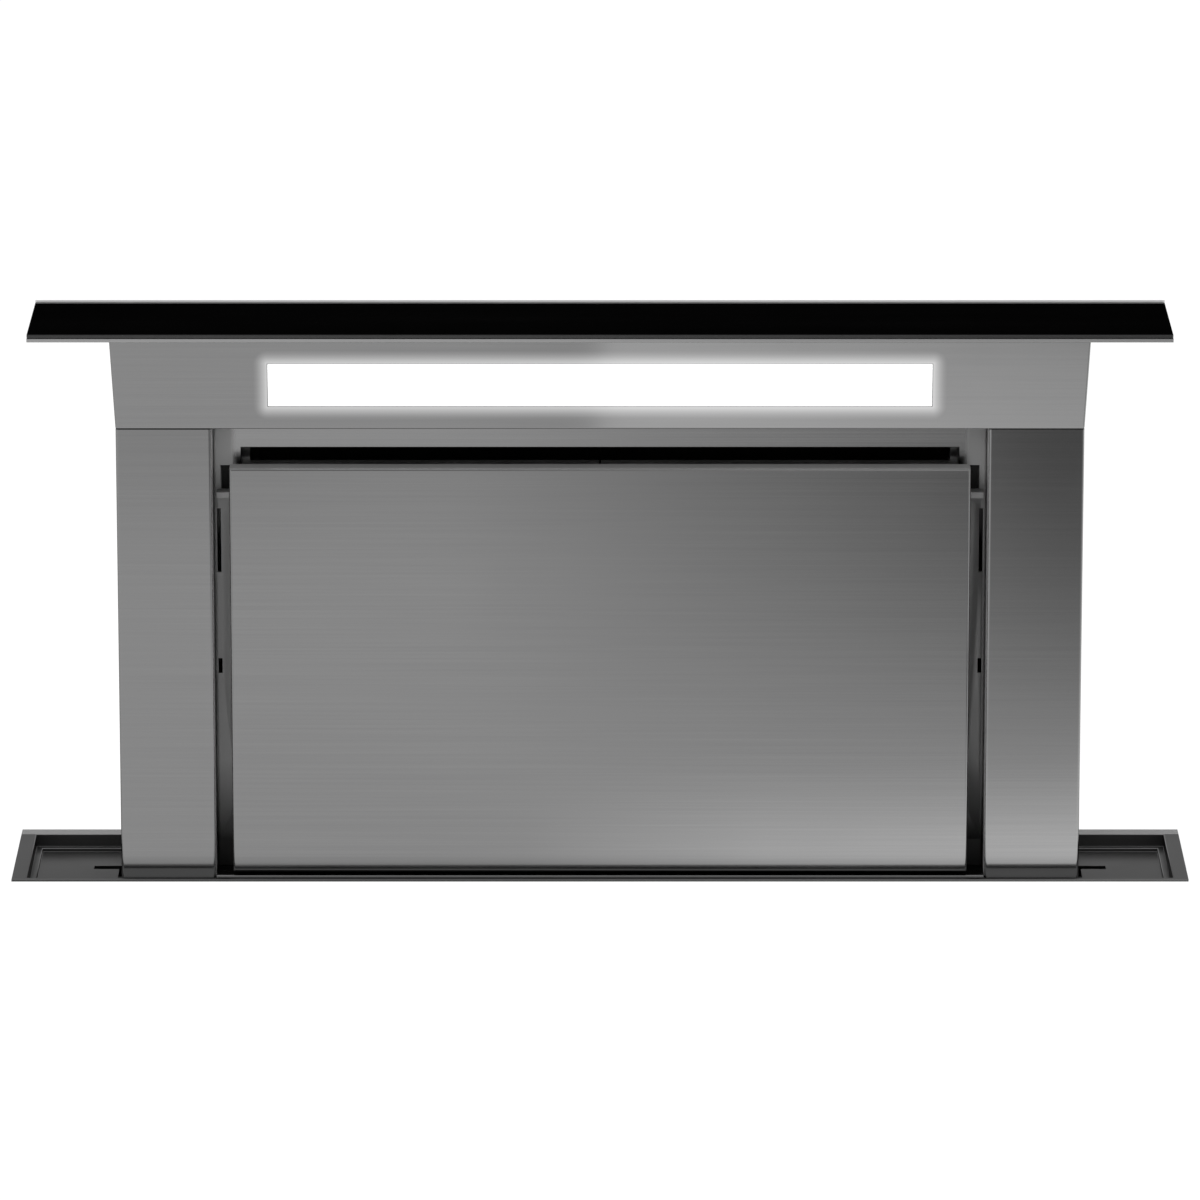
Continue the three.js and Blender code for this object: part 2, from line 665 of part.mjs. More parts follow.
/** The fixed rack: a tooth space faces each pinion tooth at rest. */
function rack() {
  const top = railTop;
  const bottom = shaftZ - travel - 2 * toothPitch;
  const slope = Math.tan(PRESSURE_ANGLE);
  const addendum = ADDENDUM * GEAR_MODULE;
  const dedendum = DEDENDUM * GEAR_MODULE;
  const halfTooth = toothPitch / 4 - GEAR_BACKLASH / 4;
  const first = Math.ceil((bottom + toothPitch / 2 - shaftZ) / toothPitch);
  const last = Math.floor((top - toothPitch - shaftZ) / toothPitch);
  const teeth = [];
  for (let k = last; k >= first; k -= 1) {
    const middle = shaftZ + (k + 0.5) * toothPitch;
    const root = halfTooth + slope * dedendum;
    const tip = halfTooth - slope * addendum;
    teeth.push([rackPitchLine + dedendum, middle + root]);
    teeth.push([rackPitchLine - addendum, middle + tip]);
    teeth.push([rackPitchLine - addendum, middle - tip]);
    teeth.push([rackPitchLine + dedendum, middle - root]);
  }
  const outline = [
    [rackPitchLine + dedendum, bottom],
    [rackBack, bottom],
    [rackBack, top],
    [rackPitchLine + dedendum, top],
    ...teeth,
  ];
  const outer = housingInner - GAP;
  return along(outline, [outer - RACK_WIDTH, outer]);
}

// ---------------------------------------------------------------- guides

/** A lipped C rail in plan, open towards the column. */
function rail() {
  const back = housingInner - GAP;
  const mouth = back - RAIL_DEPTH;
  const half = RAIL_WIDTH / 2;
  const lip = half - RAIL_LIP;
  const corners = [
    [mouth, -lip],
    [mouth, -half],
    [back, -half],
    [back, half],
    [mouth, half],
    [mouth, lip],
  ];
  const outline = folded(corners, RAIL_SHEET).map(([x, y]) => [x, railCentre + y]);
  return upright(outline, [railBottom, railTop]);
}

/** A T-shaped nylon shoe: its head runs inside the rail, its neck comes out between the lips. */
function shoe(top) {
  const back = housingInner - GAP - RAIL_SHEET - SHOE_GAP;
  const mouth = housingInner - GAP - RAIL_DEPTH;
  const head = RAIL_WIDTH / 2 - RAIL_SHEET - SHOE_GAP;
  const neck = RAIL_WIDTH / 2 - RAIL_LIP - SHOE_GAP;
  const inside = mouth + RAIL_SHEET + SHOE_GAP;
  const tip = mouth - BRACKET_SHEET / 2;
  const rear = [
    [back, head],
    [inside, head],
    [inside, neck],
    [tip, neck],
  ];
  const front = rear.map(([x, y]) => [x, -y]).reverse();
  const outline = [...rear, ...front].map(([x, y]) => [x, railCentre + y]);
  return upright(outline, [top - SHOE_HEIGHT, top]);
}

/** A Z-shaped bracket from the column's side out to both shoes. */
function shoeBracket() {
  const column = columnHalf + GAP;
  const tip = housingInner - GAP - RAIL_DEPTH - BRACKET_SHEET / 2 - GAP;
  const web = railCentre - BRACKET_FACE / 2;
  const corners = [
    [tip - BRACKET_SHEET, railCentre + BRACKET_FACE / 2],
    [tip - BRACKET_SHEET, web],
    [column, web],
    [column, web - BRACKET_FACE],
  ];
  return upright(folded(corners, BRACKET_SHEET), [bracketBottom, -BRACKET_TOP_DROP]);
}

// ---------------------------------------------------------------- column

/** A pillar in plan: outer side, face, inner side and two returns at the back. */
function pillar() {
  const rear = backPanelFront - GAP;
  const inner = pillarInner;
  const outer = columnHalf;
  const corners = [
    [inner + PILLAR_RETURN, rear],
    [inner, rear],
    [inner, columnFront],
    [outer, columnFront],
    [outer, rear],
    [outer - PILLAR_RETURN, rear],
  ];
  const body = upright(folded(corners, COLUMN_SHEET), [columnBottom, headBottom - GAP]);
  const bushHole = ontoX(bar(BUSH_RADIUS + GAP, [outer - PILLAR_RETURN, outer + PAST]));
  const shaftHole = ontoX(bar(SHAFT_RADIUS + SHAFT_WAY, [inner - PAST, inner + PILLAR_RETURN]));
  const onAxis = [bushHole, shaftHole].map((hole) => hole.translate([0, shaftY, shaftZ]));
  return cut(body, ...onAxis);
}

/** Recess plate with its opening, corner notches, slots and side flanges. */
function recessFrame() {
  const half = pillarInner - GAP;
  const sheet = COLUMN_SHEET;
  const tip = recessPlate + PILLAR_RETURN;
  const back = recessPlate + OPENING_RETURN;
  const corners = [
    [-half, tip],
    [-half, recessPlate],
    [half, recessPlate],
    [half, tip],
  ];
  const plate = upright(folded(corners, sheet), [sillTop + GAP, headBottom - GAP]);
  const tunnel = deep(
    rectangle(-openingHalf - sheet, openingHalf + sheet, openingBottom - sheet, openingTop + sheet),
    [recessPlate, back],
  );
  const opening = deep(
    rectangle(-openingHalf, openingHalf, openingBottom, openingTop),
    [recessPlate - PAST, back - sheet],
  );
  const stop = FILTER_STOP;
  const behind = deep(
    rectangle(-openingHalf + stop, openingHalf - stop, openingBottom + stop, openingTop),
    [recessPlate, back + PAST],
  );
  const through = [recessPlate - PAST, recessPlate + 2 * sheet];
  const hole = (x0, x1, below, height) =>
    block([x0, x1], through, [headBottom - below - height, headBottom - below]);
  const outer = half - sheet - BEND - GAP;
  const inner = outer - SLOT_WIDTH;
  const slots = join(
    hole(inner, outer, LONG_SLOT_BELOW_HEAD, LONG_SLOT_HEIGHT),
    hole(inner, outer, SHORT_SLOT_BELOW_HEAD, SHORT_SLOT_HEIGHT),
    hole(inner - NOTCH_HOLE_WIDTH, inner, NOTCH_HOLE_BELOW_HEAD, NOTCH_HOLE_HEIGHT),
    ...hookHeights.map(hookWay),
  );
  return cut(plate.add(tunnel), opening, behind, slots, mirrored(slots));
}

/** The slot that a hook passes through, in the hanger strip and in the plate behind it. */
function hookWay(z) {
  const side = HOOK_WIDTH / 2 + GAP;
  const depths = [hangerFront - PAST, recessPlate + 2 * COLUMN_SHEET];
  const heights = [z, z + HOOK_ARM + UNHOOK_LIFT + 2 * GAP];
  return block([hookCentre - side, hookCentre + side], depths, heights);
}

/** A strip on the recess plate that the panel's hooks hold on to, with a lug at its top. */
function hanger() {
  const outer = pillarInner - 2 * GAP - COLUMN_SHEET - BEND;
  const inner = outer - HANGER_WIDTH;
  const back = recessPlate - GAP;
  const strip = block([inner, outer], [hangerFront, back], [openingBottom, hangerTop]);
  const lugHeights = [hangerTop - LUG_HEIGHT, hangerTop];
  const lug = block([outer - LUG_WIDTH, outer], [back - LUG_DEPTH, back], lugHeights);
  const outerSlot = (below, height) =>
    block(
      [outer - SLOT_WIDTH, outer + PAST],
      [hangerFront - PAST, back + PAST],
      [headBottom - below - height, headBottom - below],
    );
  return cut(
    strip.add(lug),
    outerSlot(LONG_SLOT_BELOW_HEAD, LONG_SLOT_HEIGHT),
    outerSlot(SHORT_SLOT_BELOW_HEAD, SHORT_SLOT_HEIGHT),
    ...hookHeights.map(hookWay),
  );
}

/** The sill under the panel, and the skirt that closes the column's front below it. */
function sillSkirt() {
  const corners = [
    [recessPlate + PILLAR_RETURN, sillTop],
    [columnFront, sillTop],
    [columnFront, columnBottom],
  ];
  return along(folded(corners, COLUMN_SHEET), [-pillarInner + GAP, pillarInner - GAP]);
}

/** The ring under the column that ties the pillars and leaves the duct open. */
function baseFrame() {
  const top = columnBottom - GAP;
  const window = (x0, x1) =>
    rectangle(x0, x1, columnFront + BASE_BORDER, columnRear - BASE_BORDER);
  return upright(
    rectangle(-columnHalf, columnHalf, columnFront, columnRear),
    [top - BASE_THICKNESS, top],
    [
      window(-columnHalf + BASE_BORDER, -pillarInner - BASE_BORDER),
      window(-pillarInner + BASE_BORDER, pillarInner - BASE_BORDER),
      window(pillarInner + BASE_BORDER, columnHalf - BASE_BORDER),
    ],
  );
}

/** A baffle filter: a frame with upright slats whose lips overlap. */
function filter() {
  const inner = GAP * 2;
  const outer = openingHalf - GAP;
  const bottom = openingBottom + GAP;
  const top = openingTop - FILTER_TOP_DROP;
  const back = recessPlate + OPENING_RETURN - COLUMN_SHEET - GAP;
  const front = back - FILTER_DEPTH;
  const window = rectangle(
    inner + FILTER_FRAME,
    outer - FILTER_FRAME,
    bottom + FILTER_FRAME,
    top - FILTER_FRAME,
  );
  const frame = deep(rectangle(inner, outer, bottom, top), [front, back], [window]);
  const span = outer - inner - 2 * FILTER_FRAME;
  const step = span / BAFFLE_COUNT;
  const slat = (x, face, turn) => {
    const half = (step - BAFFLE_OPENING) / 2;
    const tip = face + turn * BAFFLE_LIP;
    const sheet = turn * BAFFLE_SHEET;
    const points = [
      [x - half, tip],
      [x - half, face],
      [x + half, face],
      [x + half, tip],
      [x + half - BAFFLE_SHEET, tip],
      [x + half - BAFFLE_SHEET, face + sheet],
      [x - half + BAFFLE_SHEET, face + sheet],
      [x - half + BAFFLE_SHEET, tip],
    ];
    return upright(points, [bottom + BAFFLE_INSET, top - BAFFLE_INSET]);
  };
  const slats = Array.from({ length: BAFFLE_COUNT }, (_, i) => {
    const x = inner + FILTER_FRAME + (i + 0.5) * step;
    return slat(x, front + BAFFLE_INSET, 1);
  });
  const rear = Array.from({ length: BAFFLE_COUNT - 1 }, (_, i) => {
    const x = inner + FILTER_FRAME + (i + 1) * step;
    return slat(x, back - BAFFLE_INSET, -1);
  });
  return join(frame, ...slats, ...rear);
}

function column(parent) {
  const group = new THREE.Group();
  parent.add(group);
  pair(group, "pillar", pillar(), brushedSteel);
  const height = [columnBottom, headBottom - GAP];
  const back = block([-columnHalf, columnHalf], [backPanelFront, columnRear], height);
  piece(group, "column_back_panel", back, brushedSteel);
  piece(group, "recess_frame", recessFrame(), brushedSteel);
  piece(group, "column_sill", sillSkirt(), trimSteel);
  piece(group, "column_base_frame", baseFrame(), zinc);
  pair(group, "panel_hanger", hanger(), brushedSteel);
  pair(group, "grease_filter", filter(), aluminium);
  pair(group, "shoe_bracket", shoeBracket(), zinc);
  const shoeTop = -BRACKET_TOP_DROP;
  pair(group, "upper_shoe", shoe(shoeTop), nylon);
  pair(group, "lower_shoe", shoe(shoeTop - SHOE_HEIGHT - SHOE_SPACING), nylon);
  const bush = [
    [SHAFT_RADIUS + RUNNING, -BUSH_LENGTH],
    [BUSH_RADIUS, -BUSH_LENGTH],
    [BUSH_RADIUS, GAP],
    [BUSH_FLANGE_RADIUS, GAP],
    [BUSH_FLANGE_RADIUS, GAP + BUSH_FLANGE],
    [SHAFT_RADIUS + RUNNING, GAP + BUSH_FLANGE],
  ];
  const seated = ontoX(turned(bush, SMALL_ROUND)).translate([columnHalf, shaftY, shaftZ]);
  pair(group, "shaft_bush", seated, nylon);
  liftDrive(group);
  lampHead(group);
  glassTop(group);
}

/** Worm gearbox round the cross shaft and its motor, both inside the right pillar. */
function liftDrive(group) {
  const inner = pillarInner + COLUMN_SHEET + GAP;
  const front = columnFront + COLUMN_SHEET + GEARBOX_ROOM;
  const back = front + GEARBOX_DEPTH;
  const bottom = columnBottom + GEARBOX_RAISE;
  const top = bottom + GEARBOX_HEIGHT;
  const outline = softRectangle(front, back, bottom, top, GEARBOX_CORNER);
  const bore = arc(SHAFT_RADIUS + RUNNING, SMALL_ROUND, undefined, [shaftY, shaftZ]);
  const box = along(outline, [inner, inner + GEARBOX_WIDTH], [bore]);
  piece(group, "lift_gearbox", box, aluminium);
  const x = inner + GEARBOX_WIDTH / 2;
  const y = shaftY + MOTOR_BEHIND_SHAFT;
  const can = [
    [0, 0],
    [MOTOR_NECK_RADIUS, 0],
    [MOTOR_NECK_RADIUS, MOTOR_NECK],
    [MOTOR_RADIUS, MOTOR_NECK],
    [MOTOR_RADIUS, MOTOR_LENGTH - MOTOR_CHAMFER],
    [MOTOR_RADIUS - MOTOR_CHAMFER, MOTOR_LENGTH],
    [0, MOTOR_LENGTH],
  ];
  piece(group, "lift_motor", turned(can, SMALL_ROUND).translate([x, y, top + GAP]), motorBlack);
}

/** The leaning shell with its lens, LED board and lamp housing. */
function lampHead(group) {
  const sheet = COLUMN_SHEET;
  const shell = (inset, z0, z1) => {
    const at = (z) => {
      const share = (z - headBottom) / HEAD_HEIGHT;
      const front = columnFront - HEAD_LEAN * share + inset;
      const wide = columnHalf + HEAD_FLARE * share - inset;
      const half = columnHalf - inset;
      const rear = columnRear - inset;
      return [[-wide, front], [wide, front], [half, rear], [-half, rear]];
    };
    return loft(at(z0), z0, at(z1), z1);
  };
  const lean = Math.atan2(HEAD_LEAN, HEAD_HEIGHT);
  const slope = HEAD_HEIGHT / Math.cos(lean);
  const centreZ = headTop - LENS_BELOW_TOP * Math.cos(lean);
  const centreY = columnFront - HEAD_LEAN * (1 - LENS_BELOW_TOP / slope);
  const leanDegrees = THREE.MathUtils.radToDeg(lean);
  const place = (made) => made.rotate([leanDegrees, 0, 0]).translate([0, centreY, centreZ]);
  const slab = (length, height, depths) =>
    block([-length / 2, length / 2], depths, [-height / 2, height / 2]);
  const hole = place(slab(LENS_LENGTH, LENS_HEIGHT, [-LAMP_DEPTH, LAMP_DEPTH]));
  const hollow = shell(sheet, headBottom + sheet, headTop + sheet);
  piece(group, "head_shell", cut(shell(0, headBottom, headTop), hollow, hole), brushedSteel);
  const lens = slab(LENS_LENGTH - 2 * GAP, LENS_HEIGHT - 2 * GAP, [-GAP, LENS_THICKNESS]);
  piece(group, "lamp_lens", place(lens), opal);
  const outside = slab(
    LENS_LENGTH + 2 * LAMP_WALL,
    LENS_HEIGHT + 2 * LAMP_WALL,
    [2 * sheet + GAP, LAMP_DEPTH],
  );
  const inside = slab(LENS_LENGTH, LENS_HEIGHT, [-LAMP_DEPTH, LAMP_DEPTH - LAMP_WALL]);
  piece(group, "lamp_housing", place(cut(outside, inside)), aluminium);
  const boardBack = LAMP_DEPTH - LAMP_WALL - GAP;
  const boardDepths = [boardBack - BOARD_THICKNESS, boardBack];
  const board = slab(LENS_LENGTH - 4 * LAMP_WALL, BOARD_HEIGHT, boardDepths);
  piece(group, "led_board", place(board), whiteBoard);
}

/** The glass and the thin steel carrier under it, whose skirt drops inside the head. */
function glassTop(group) {
  const under = glassBottom - GAP - CARRIER_THICKNESS;
  const lipRear = glassRear + GAP + CARRIER_LIP;
  const sides = [-glassHalf, glassHalf];
  const plate = block(sides, [glassFront, lipRear], [under, glassBottom - GAP]);
  const lipHeights = [under, RAISED_HEIGHT + CARRIER_LIP_RISE];
  const lip = block(sides, [glassRear + GAP, lipRear], lipHeights);
  const room = COLUMN_SHEET + 2 * GAP;
  const half = columnHalf - room;
  const front = headFront + room + (HEAD_LEAN * CARRIER_SKIRT) / HEAD_HEIGHT;
  const rear = columnRear - room;
  const wall = CARRIER_SKIRT_WALL;
  const skirt = upright(
    rectangle(-half, half, front, rear),
    [headTop - CARRIER_SKIRT, glassBottom - CARRIER_THICKNESS],
    [rectangle(-half + wall, half - wall, front + wall, rear - wall)],
  );
  piece(group, "glass_carrier", join(plate, lip, skirt), brushedSteel);
  const edge = GLASS_EDGE;
  const outline = rectangle(
    -glassHalf + edge,
    glassHalf - edge,
    glassFront + edge,
    glassRear - edge,
  );
  const corners = outline.map(([x, y]) => new THREE.Vector2(x, y));
  const glass = new THREE.ExtrudeGeometry(new THREE.Shape(corners), {
    depth: GLASS_THICKNESS - 2 * edge,
    bevelThickness: edge,
    bevelSize: edge,
    bevelSegments: 1,
  });
  piece(group, "glass_top", solid(glass.translate(0, 0, glassBottom + edge)), blackGlass);
}

// ---------------------------------------------------------------- suction panel

/** A shallow pan with four hooks behind it. */
function suctionPanel(parent) {
  const sheet = PANEL_SHEET;
  const half = panelHalf;
  const back = panelFront + PANEL_PAN;
  const beyond = back + sheet + BEND + PAST;
  const body = softBlock([-half, half], [panelFront, beyond], [panelBottom, panelTop], BEND + sheet);
  const hollow = softBlock(
    [-half + sheet, half - sheet],
    [panelFront + sheet, beyond + sheet],
    [panelBottom + sheet, panelTop - sheet],
    BEND,
  );
  const heights = [panelBottom - PAST, panelTop + PAST];
  const behind = block([-half - PAST, half + PAST], [back, beyond + PAST], heights);
  const hook = (z) => {
    const tip = recessPlate + 2 * COLUMN_SHEET + GAP + HOOK_WIDTH;
    const foot = z + GAP;
    const shank = recessPlate + COLUMN_SHEET + 2 * GAP;
    const outline = [
      [panelFront + sheet / 2, foot],
      [shank, foot],
      [shank, foot - HOOK_LIP],
      [tip, foot - HOOK_LIP],
      [tip, foot + HOOK_ARM],
      [panelFront + sheet / 2, foot + HOOK_ARM],
    ];
    return along(outline, [hookCentre - HOOK_WIDTH / 2, hookCentre + HOOK_WIDTH / 2]);
  };
  const hooks = hookHeights.flatMap((z) => [hook(z), mirrored(hook(z))]);
  piece(parent, "suction_panel", join(cut(body, hollow, behind), ...hooks), brushedSteel);
}

// ---------------------------------------------------------------- cross shaft

function crossShaft(parent) {
  const end = housingInner - GAP - SHAFT_END_GAP;
  const shaft = ontoX(bar(SHAFT_RADIUS, [-end, end])).translate([0, shaftY, shaftZ]);
  piece(parent, "cross_shaft", shaft, bareSteel);
  pair(parent, "pinion", pinion(), bareSteel);
}

// ---------------------------------------------------------------- blower

/** The scroll's radius at an angle from +X; it grows from the tongue round to the mouth's top. */
function scrollRadius(angle) {
  const tongue = Math.PI - Math.asin((SCROLL_END - MOUTH_HEIGHT) / SCROLL_START);
  const share = (angle - tongue) / (SCROLL_TURN - tongue);
  return SCROLL_START + (SCROLL_END - SCROLL_START) * share;
}

/** The scroll in the (x, z) plane, grown by an offset, with its mouth reaching left to an edge. */
function scrollOutline(offset, edge) {
  const low = SCROLL_END - MOUTH_HEIGHT - offset;
  const tongue = Math.PI - Math.asin(low / (SCROLL_START + offset));
  const spiral = Array.from({ length: SCROLL_STEPS + 1 }, (_, i) => {
    const angle = tongue + ((SCROLL_TURN - tongue) * i) / SCROLL_STEPS;
    const radius = scrollRadius(angle) + offset;
    return [radius * Math.cos(angle), radius * Math.sin(angle)];
  });
  return [...spiral, [-edge, SCROLL_END + offset], [-edge, low]];
}

function blower(parent) {
  const group = new THREE.Group();
  group.position.set(0, blowerY, blowerZ);
  parent.add(group);
  piece(group, "blower_case", blowerCase(), zinc);
  piece(group, "blower_cover", blowerCover(), zinc);
  piece(group, "blower_scroll", scroll(), zinc);
  piece(group, "inlet_ring", inletRing(), zinc);
  fanMotor(group);
  impeller(group);
  outlet(group);
  blowerFeet(group);
  controlBox(parent);
}

/** The case's outline in the (x, z) plane, grown by an offset. */
function caseOutline(grow) {
  const [low, high] = [-caseBelow - grow, caseAbove + grow];
  return softRectangle(-caseLeft - grow, caseRight + grow, low, high, CASE_CORNER + grow);
}

/** A box open at the front, with the inlet in its back and the outlet in its left side. */
function blowerCase() {
  const sheet = CASE_SHEET;
  const body = deep(caseOutline(0), [-caseDepth, 0]);
  const inside = deep(caseOutline(-sheet), [-caseDepth - PAST, -sheet]);
  const inlet = ontoY(bar(INLET_RADIUS + INLET_FLARE, [-CASE_GAP, CASE_GAP], ROUND));
  const wall = [-caseLeft - PAST, -caseLeft + sheet + PAST];
  const outletHole = ontoX(bar(COLLAR_RADIUS - COLLAR_WALL, wall, ROUND));
  return cut(body, inside, inlet, outletHole.translate([0, collarCentre, mouthCentre]));
}

/** The removable front cover, with a turned edge inside the case. */
function blowerCover() {
  const sheet = CASE_SHEET;
  const back = -caseDepth - GAP;
  const face = deep(caseOutline(0), [back - sheet, back]);
  const hollow = caseOutline(-2 * sheet - GAP);
  const edge = deep(caseOutline(-sheet - GAP), [back - sheet, back + CASE_FLANGE], [hollow]);
  return face.add(edge);
}

function scroll() {
  const sheet = SCROLL_SHEET;
  const wall = caseLeft - CASE_SHEET - GAP;
  const body = deep(scrollOutline(sheet, wall), [scrollFront, scrollRear]);
  const inside = deep(scrollOutline(0, wall + PAST), [scrollFront + sheet, scrollRear - sheet]);
  const inletRadius = INLET_RADIUS + sheet + GAP;
  const inletHole = ontoY(bar(inletRadius, [scrollRear - 2 * sheet, scrollRear + PAST], ROUND));
  const motorRadius = FAN_MOTOR_RADIUS + FAN_MOTOR_HOLE_GAP;
  const motorHole = ontoY(bar(motorRadius, [scrollFront - PAST, scrollFront + 2 * sheet], ROUND));
  return cut(body, inside, inletHole, motorHole);
}

/** The rounded inlet ring: a flange inside the case's back, a flare and a throat into the scroll. */
function inletRing() {
  const wall = SCROLL_SHEET;
  const flange = INLET_RADIUS + INLET_FLANGE;
  const seat = CASE_SHEET + GAP + SCROLL_SHEET;
  const throat = -impellerRear - GAP;
  const centre = [INLET_RADIUS + INLET_FLARE, seat - wall + INLET_FLARE];
  const flare = (radius, turn) => arc(radius, BEND_STEPS, turn, centre);
  const profile = [
    [flange, seat - wall],
    ...flare(INLET_FLARE, [1.5 * Math.PI, Math.PI]),
    [INLET_RADIUS, throat],
    [INLET_RADIUS + wall, throat],
    ...flare(INLET_FLARE - wall, [Math.PI, 1.5 * Math.PI]),
    [flange, seat],
  ];
  return ontoFront(turned(profile));
}

/** Motor can and the ring plate that holds it on the scroll's front wall. */
function fanMotor(group) {
  const seat = scrollFront - GAP;
  const mount = [
    [MOTOR_MOUNT_BORE, 0],
    [MOTOR_MOUNT_RADIUS, 0],
    [MOTOR_MOUNT_RADIUS, MOTOR_MOUNT_SHEET],
    [MOTOR_MOUNT_BORE, MOTOR_MOUNT_SHEET],
  ];
  const facing = (made, y) => ontoFront(made).translate([0, y, 0]);
  piece(group, "motor_mount", facing(turned(mount), seat), zinc);
  const shoulder = FAN_MOTOR_LENGTH - FAN_MOTOR_BOSS;
  const can = [
    [MOTOR_SHAFT_RADIUS + RUNNING, 0],
    [FAN_MOTOR_RADIUS - FAN_MOTOR_CHAMFER, 0],
    [FAN_MOTOR_RADIUS, FAN_MOTOR_CHAMFER],
    [FAN_MOTOR_RADIUS, shoulder],
    [FAN_MOTOR_BOSS_RADIUS, shoulder],
    [FAN_MOTOR_BOSS_RADIUS - FAN_MOTOR_CHAMFER, FAN_MOTOR_LENGTH],
    [MOTOR_SHAFT_RADIUS + RUNNING, FAN_MOTOR_LENGTH],
  ];
  const front = seat - MOTOR_MOUNT_SHEET - GAP;
  piece(group, "fan_motor", facing(turned(can), front), motorBlack);
}

/** A wheel of forward-curved blades between a back disc and an inlet ring. */
function impeller(group) {
  const disc = [
    [MOTOR_SHAFT_RADIUS + GAP, 0],
    [IMPELLER_RADIUS, 0],
    [IMPELLER_RADIUS, IMPELLER_DISC],
    [HUB_RADIUS, IMPELLER_DISC],
    [HUB_RADIUS, HUB_LENGTH],
    [MOTOR_SHAFT_RADIUS + GAP, HUB_LENGTH],
  ];
  const inner = IMPELLER_RADIUS - BLADE_CHORD;
  const ring = [
    [inner - RING_LAP, IMPELLER_WIDTH - IMPELLER_RING],
    [IMPELLER_RADIUS, IMPELLER_WIDTH - IMPELLER_RING],
    [IMPELLER_RADIUS, IMPELLER_WIDTH],
    [inner - RING_LAP, IMPELLER_WIDTH],
  ];
  const bladeHeights = [IMPELLER_DISC / 2, IMPELLER_WIDTH - IMPELLER_RING / 2];
  const blade = upright(bladeOutline(inner), bladeHeights);
  const blades = Array.from({ length: BLADE_COUNT }, (_, i) =>
    blade.rotate([0, 0, (360 * i) / BLADE_COUNT]),
  );
  const wheel = join(turned(disc), turned(ring), ...blades);
  const facing = (made) => ontoY(made).translate([0, impellerFront, 0]);
  piece(group, "impeller", facing(wheel), aluminium);
  const tail = impellerFront - scrollFront + MOTOR_MOUNT_SHEET + FAN_MOTOR_LENGTH;
  const shaft = bar(MOTOR_SHAFT_RADIUS, [-tail, HUB_LENGTH + MOTOR_SHAFT_END]);
  piece(group, "motor_shaft", facing(shaft), bareSteel);
}

/** One blade: a bowed strip from the inner to the outer radius, leaning into the turn. */
function bladeOutline(inner) {
  const outer = IMPELLER_RADIUS - BLADE_INSET;
  const start = new THREE.Vector2(inner, 0);
  const end = new THREE.Vector2(outer * Math.cos(BLADE_SWEEP), outer * Math.sin(BLADE_SWEEP));
  const across = new THREE.Vector2(-(end.y - start.y), end.x - start.x).normalize();
  const spine = Array.from({ length: BLADE_STEPS + 1 }, (_, i) => {
    const share = i / BLADE_STEPS;
    const bow = -BLADE_BOW * 4 * share * (1 - share);
    return start.clone().lerp(end, share).addScaledVector(across, bow);
  });
  const side = (sign) => spine.map((p) => p.clone().addScaledVector(across, (sign * BLADE_THICKNESS) / 2));
  return [...side(-1), ...side(1).reverse()].map((p) => [p.x, p.y]);
}

/** Collar on the case's left side, the damper pin across it and two half-round flaps. */
function outlet(parent) {
  const group = new THREE.Group();
  group.position.set(-caseLeft - GAP, collarCentre, mouthCentre);
  parent.add(group);
  const bore = COLLAR_RADIUS - COLLAR_WALL;
  const profile = [
    [bore, 0],
    [COLLAR_RADIUS + COLLAR_FLANGE, 0],
    [COLLAR_RADIUS + COLLAR_FLANGE, CASE_SHEET],
    [COLLAR_RADIUS, CASE_SHEET],
    [COLLAR_RADIUS, COLLAR_LENGTH],
    [bore, COLLAR_LENGTH],
  ];
  const pinHole = bar(DAMPER_PIN_RADIUS + GAP, [-COLLAR_RADIUS - PAST, COLLAR_RADIUS + PAST]);
  const collar = turned(profile).rotate([0, -quarterTurn, 0]);
  const pinX = -DAMPER_BACK;
  piece(group, "outlet_collar", cut(collar, pinHole.translate([pinX, 0, 0])), zinc);
  const pin = bar(DAMPER_PIN_RADIUS, [-COLLAR_RADIUS - PIN_END, COLLAR_RADIUS + PIN_END]);
  piece(group, "damper_pin", pin.translate([pinX, 0, 0]), bareSteel);
  piece(group, "rear_damper_flap", flap(1).translate([pinX, 0, 0]), aluminium);
  piece(group, "front_damper_flap", flap(-1).translate([pinX, 0, 0]), aluminium);
}

/** A half-round flap with knuckles on the pin; side is +1 at the back and -1 at the front. */
function flap(side) {
  const radius = COLLAR_RADIUS - COLLAR_WALL - FLAP_GAP;
  const reach = radius - KNUCKLE_INSET;
  const pitch = (2 * reach) / KNUCKLE_COUNT;
  const spans = Array.from({ length: KNUCKLE_COUNT }, (_, i) => [
    i * pitch - reach + GAP,
    (i + 1) * pitch - reach - GAP,
  ]);
  const own = spans.filter((_, i) => i % 2 === (side > 0 ? 1 : 0));
  const others = spans.filter((_, i) => i % 2 === (side > 0 ? 0 : 1));
  const half = FLAP_SHEET / 2;
  const room = KNUCKLE_RADIUS + 2 * GAP;
  const grown = ([low, high]) => [low - 2 * GAP, high + 2 * GAP];
  const halfDisc = along(arc(radius, ROUND / 2, [-Math.PI / 2, Math.PI / 2]), [-half, half]);
  const middle = block([-room, room], [-PAST, DAMPER_PIN_RADIUS + 2 * GAP], [-radius, radius]);
  const clear = others.map((span) => block([-room, room], [-PAST, room], grown(span)));
  const knuckles = own.map((span) => bar(KNUCKLE_RADIUS, span, KNUCKLE_SIDES));
  const strapDepth = [DAMPER_PIN_RADIUS, KNUCKLE_RADIUS + KNUCKLE_STRAP];
  const straps = own.map((span) => block([-half, half], strapDepth, span));
  const pinWay = bar(DAMPER_PIN_RADIUS + GAP, [-COLLAR_RADIUS, COLLAR_RADIUS]);
  const made = cut(join(cut(halfDisc, middle, ...clear), ...straps, ...knuckles), pinWay);
  return side > 0 ? made : made.mirror([0, 1, 0]);
}

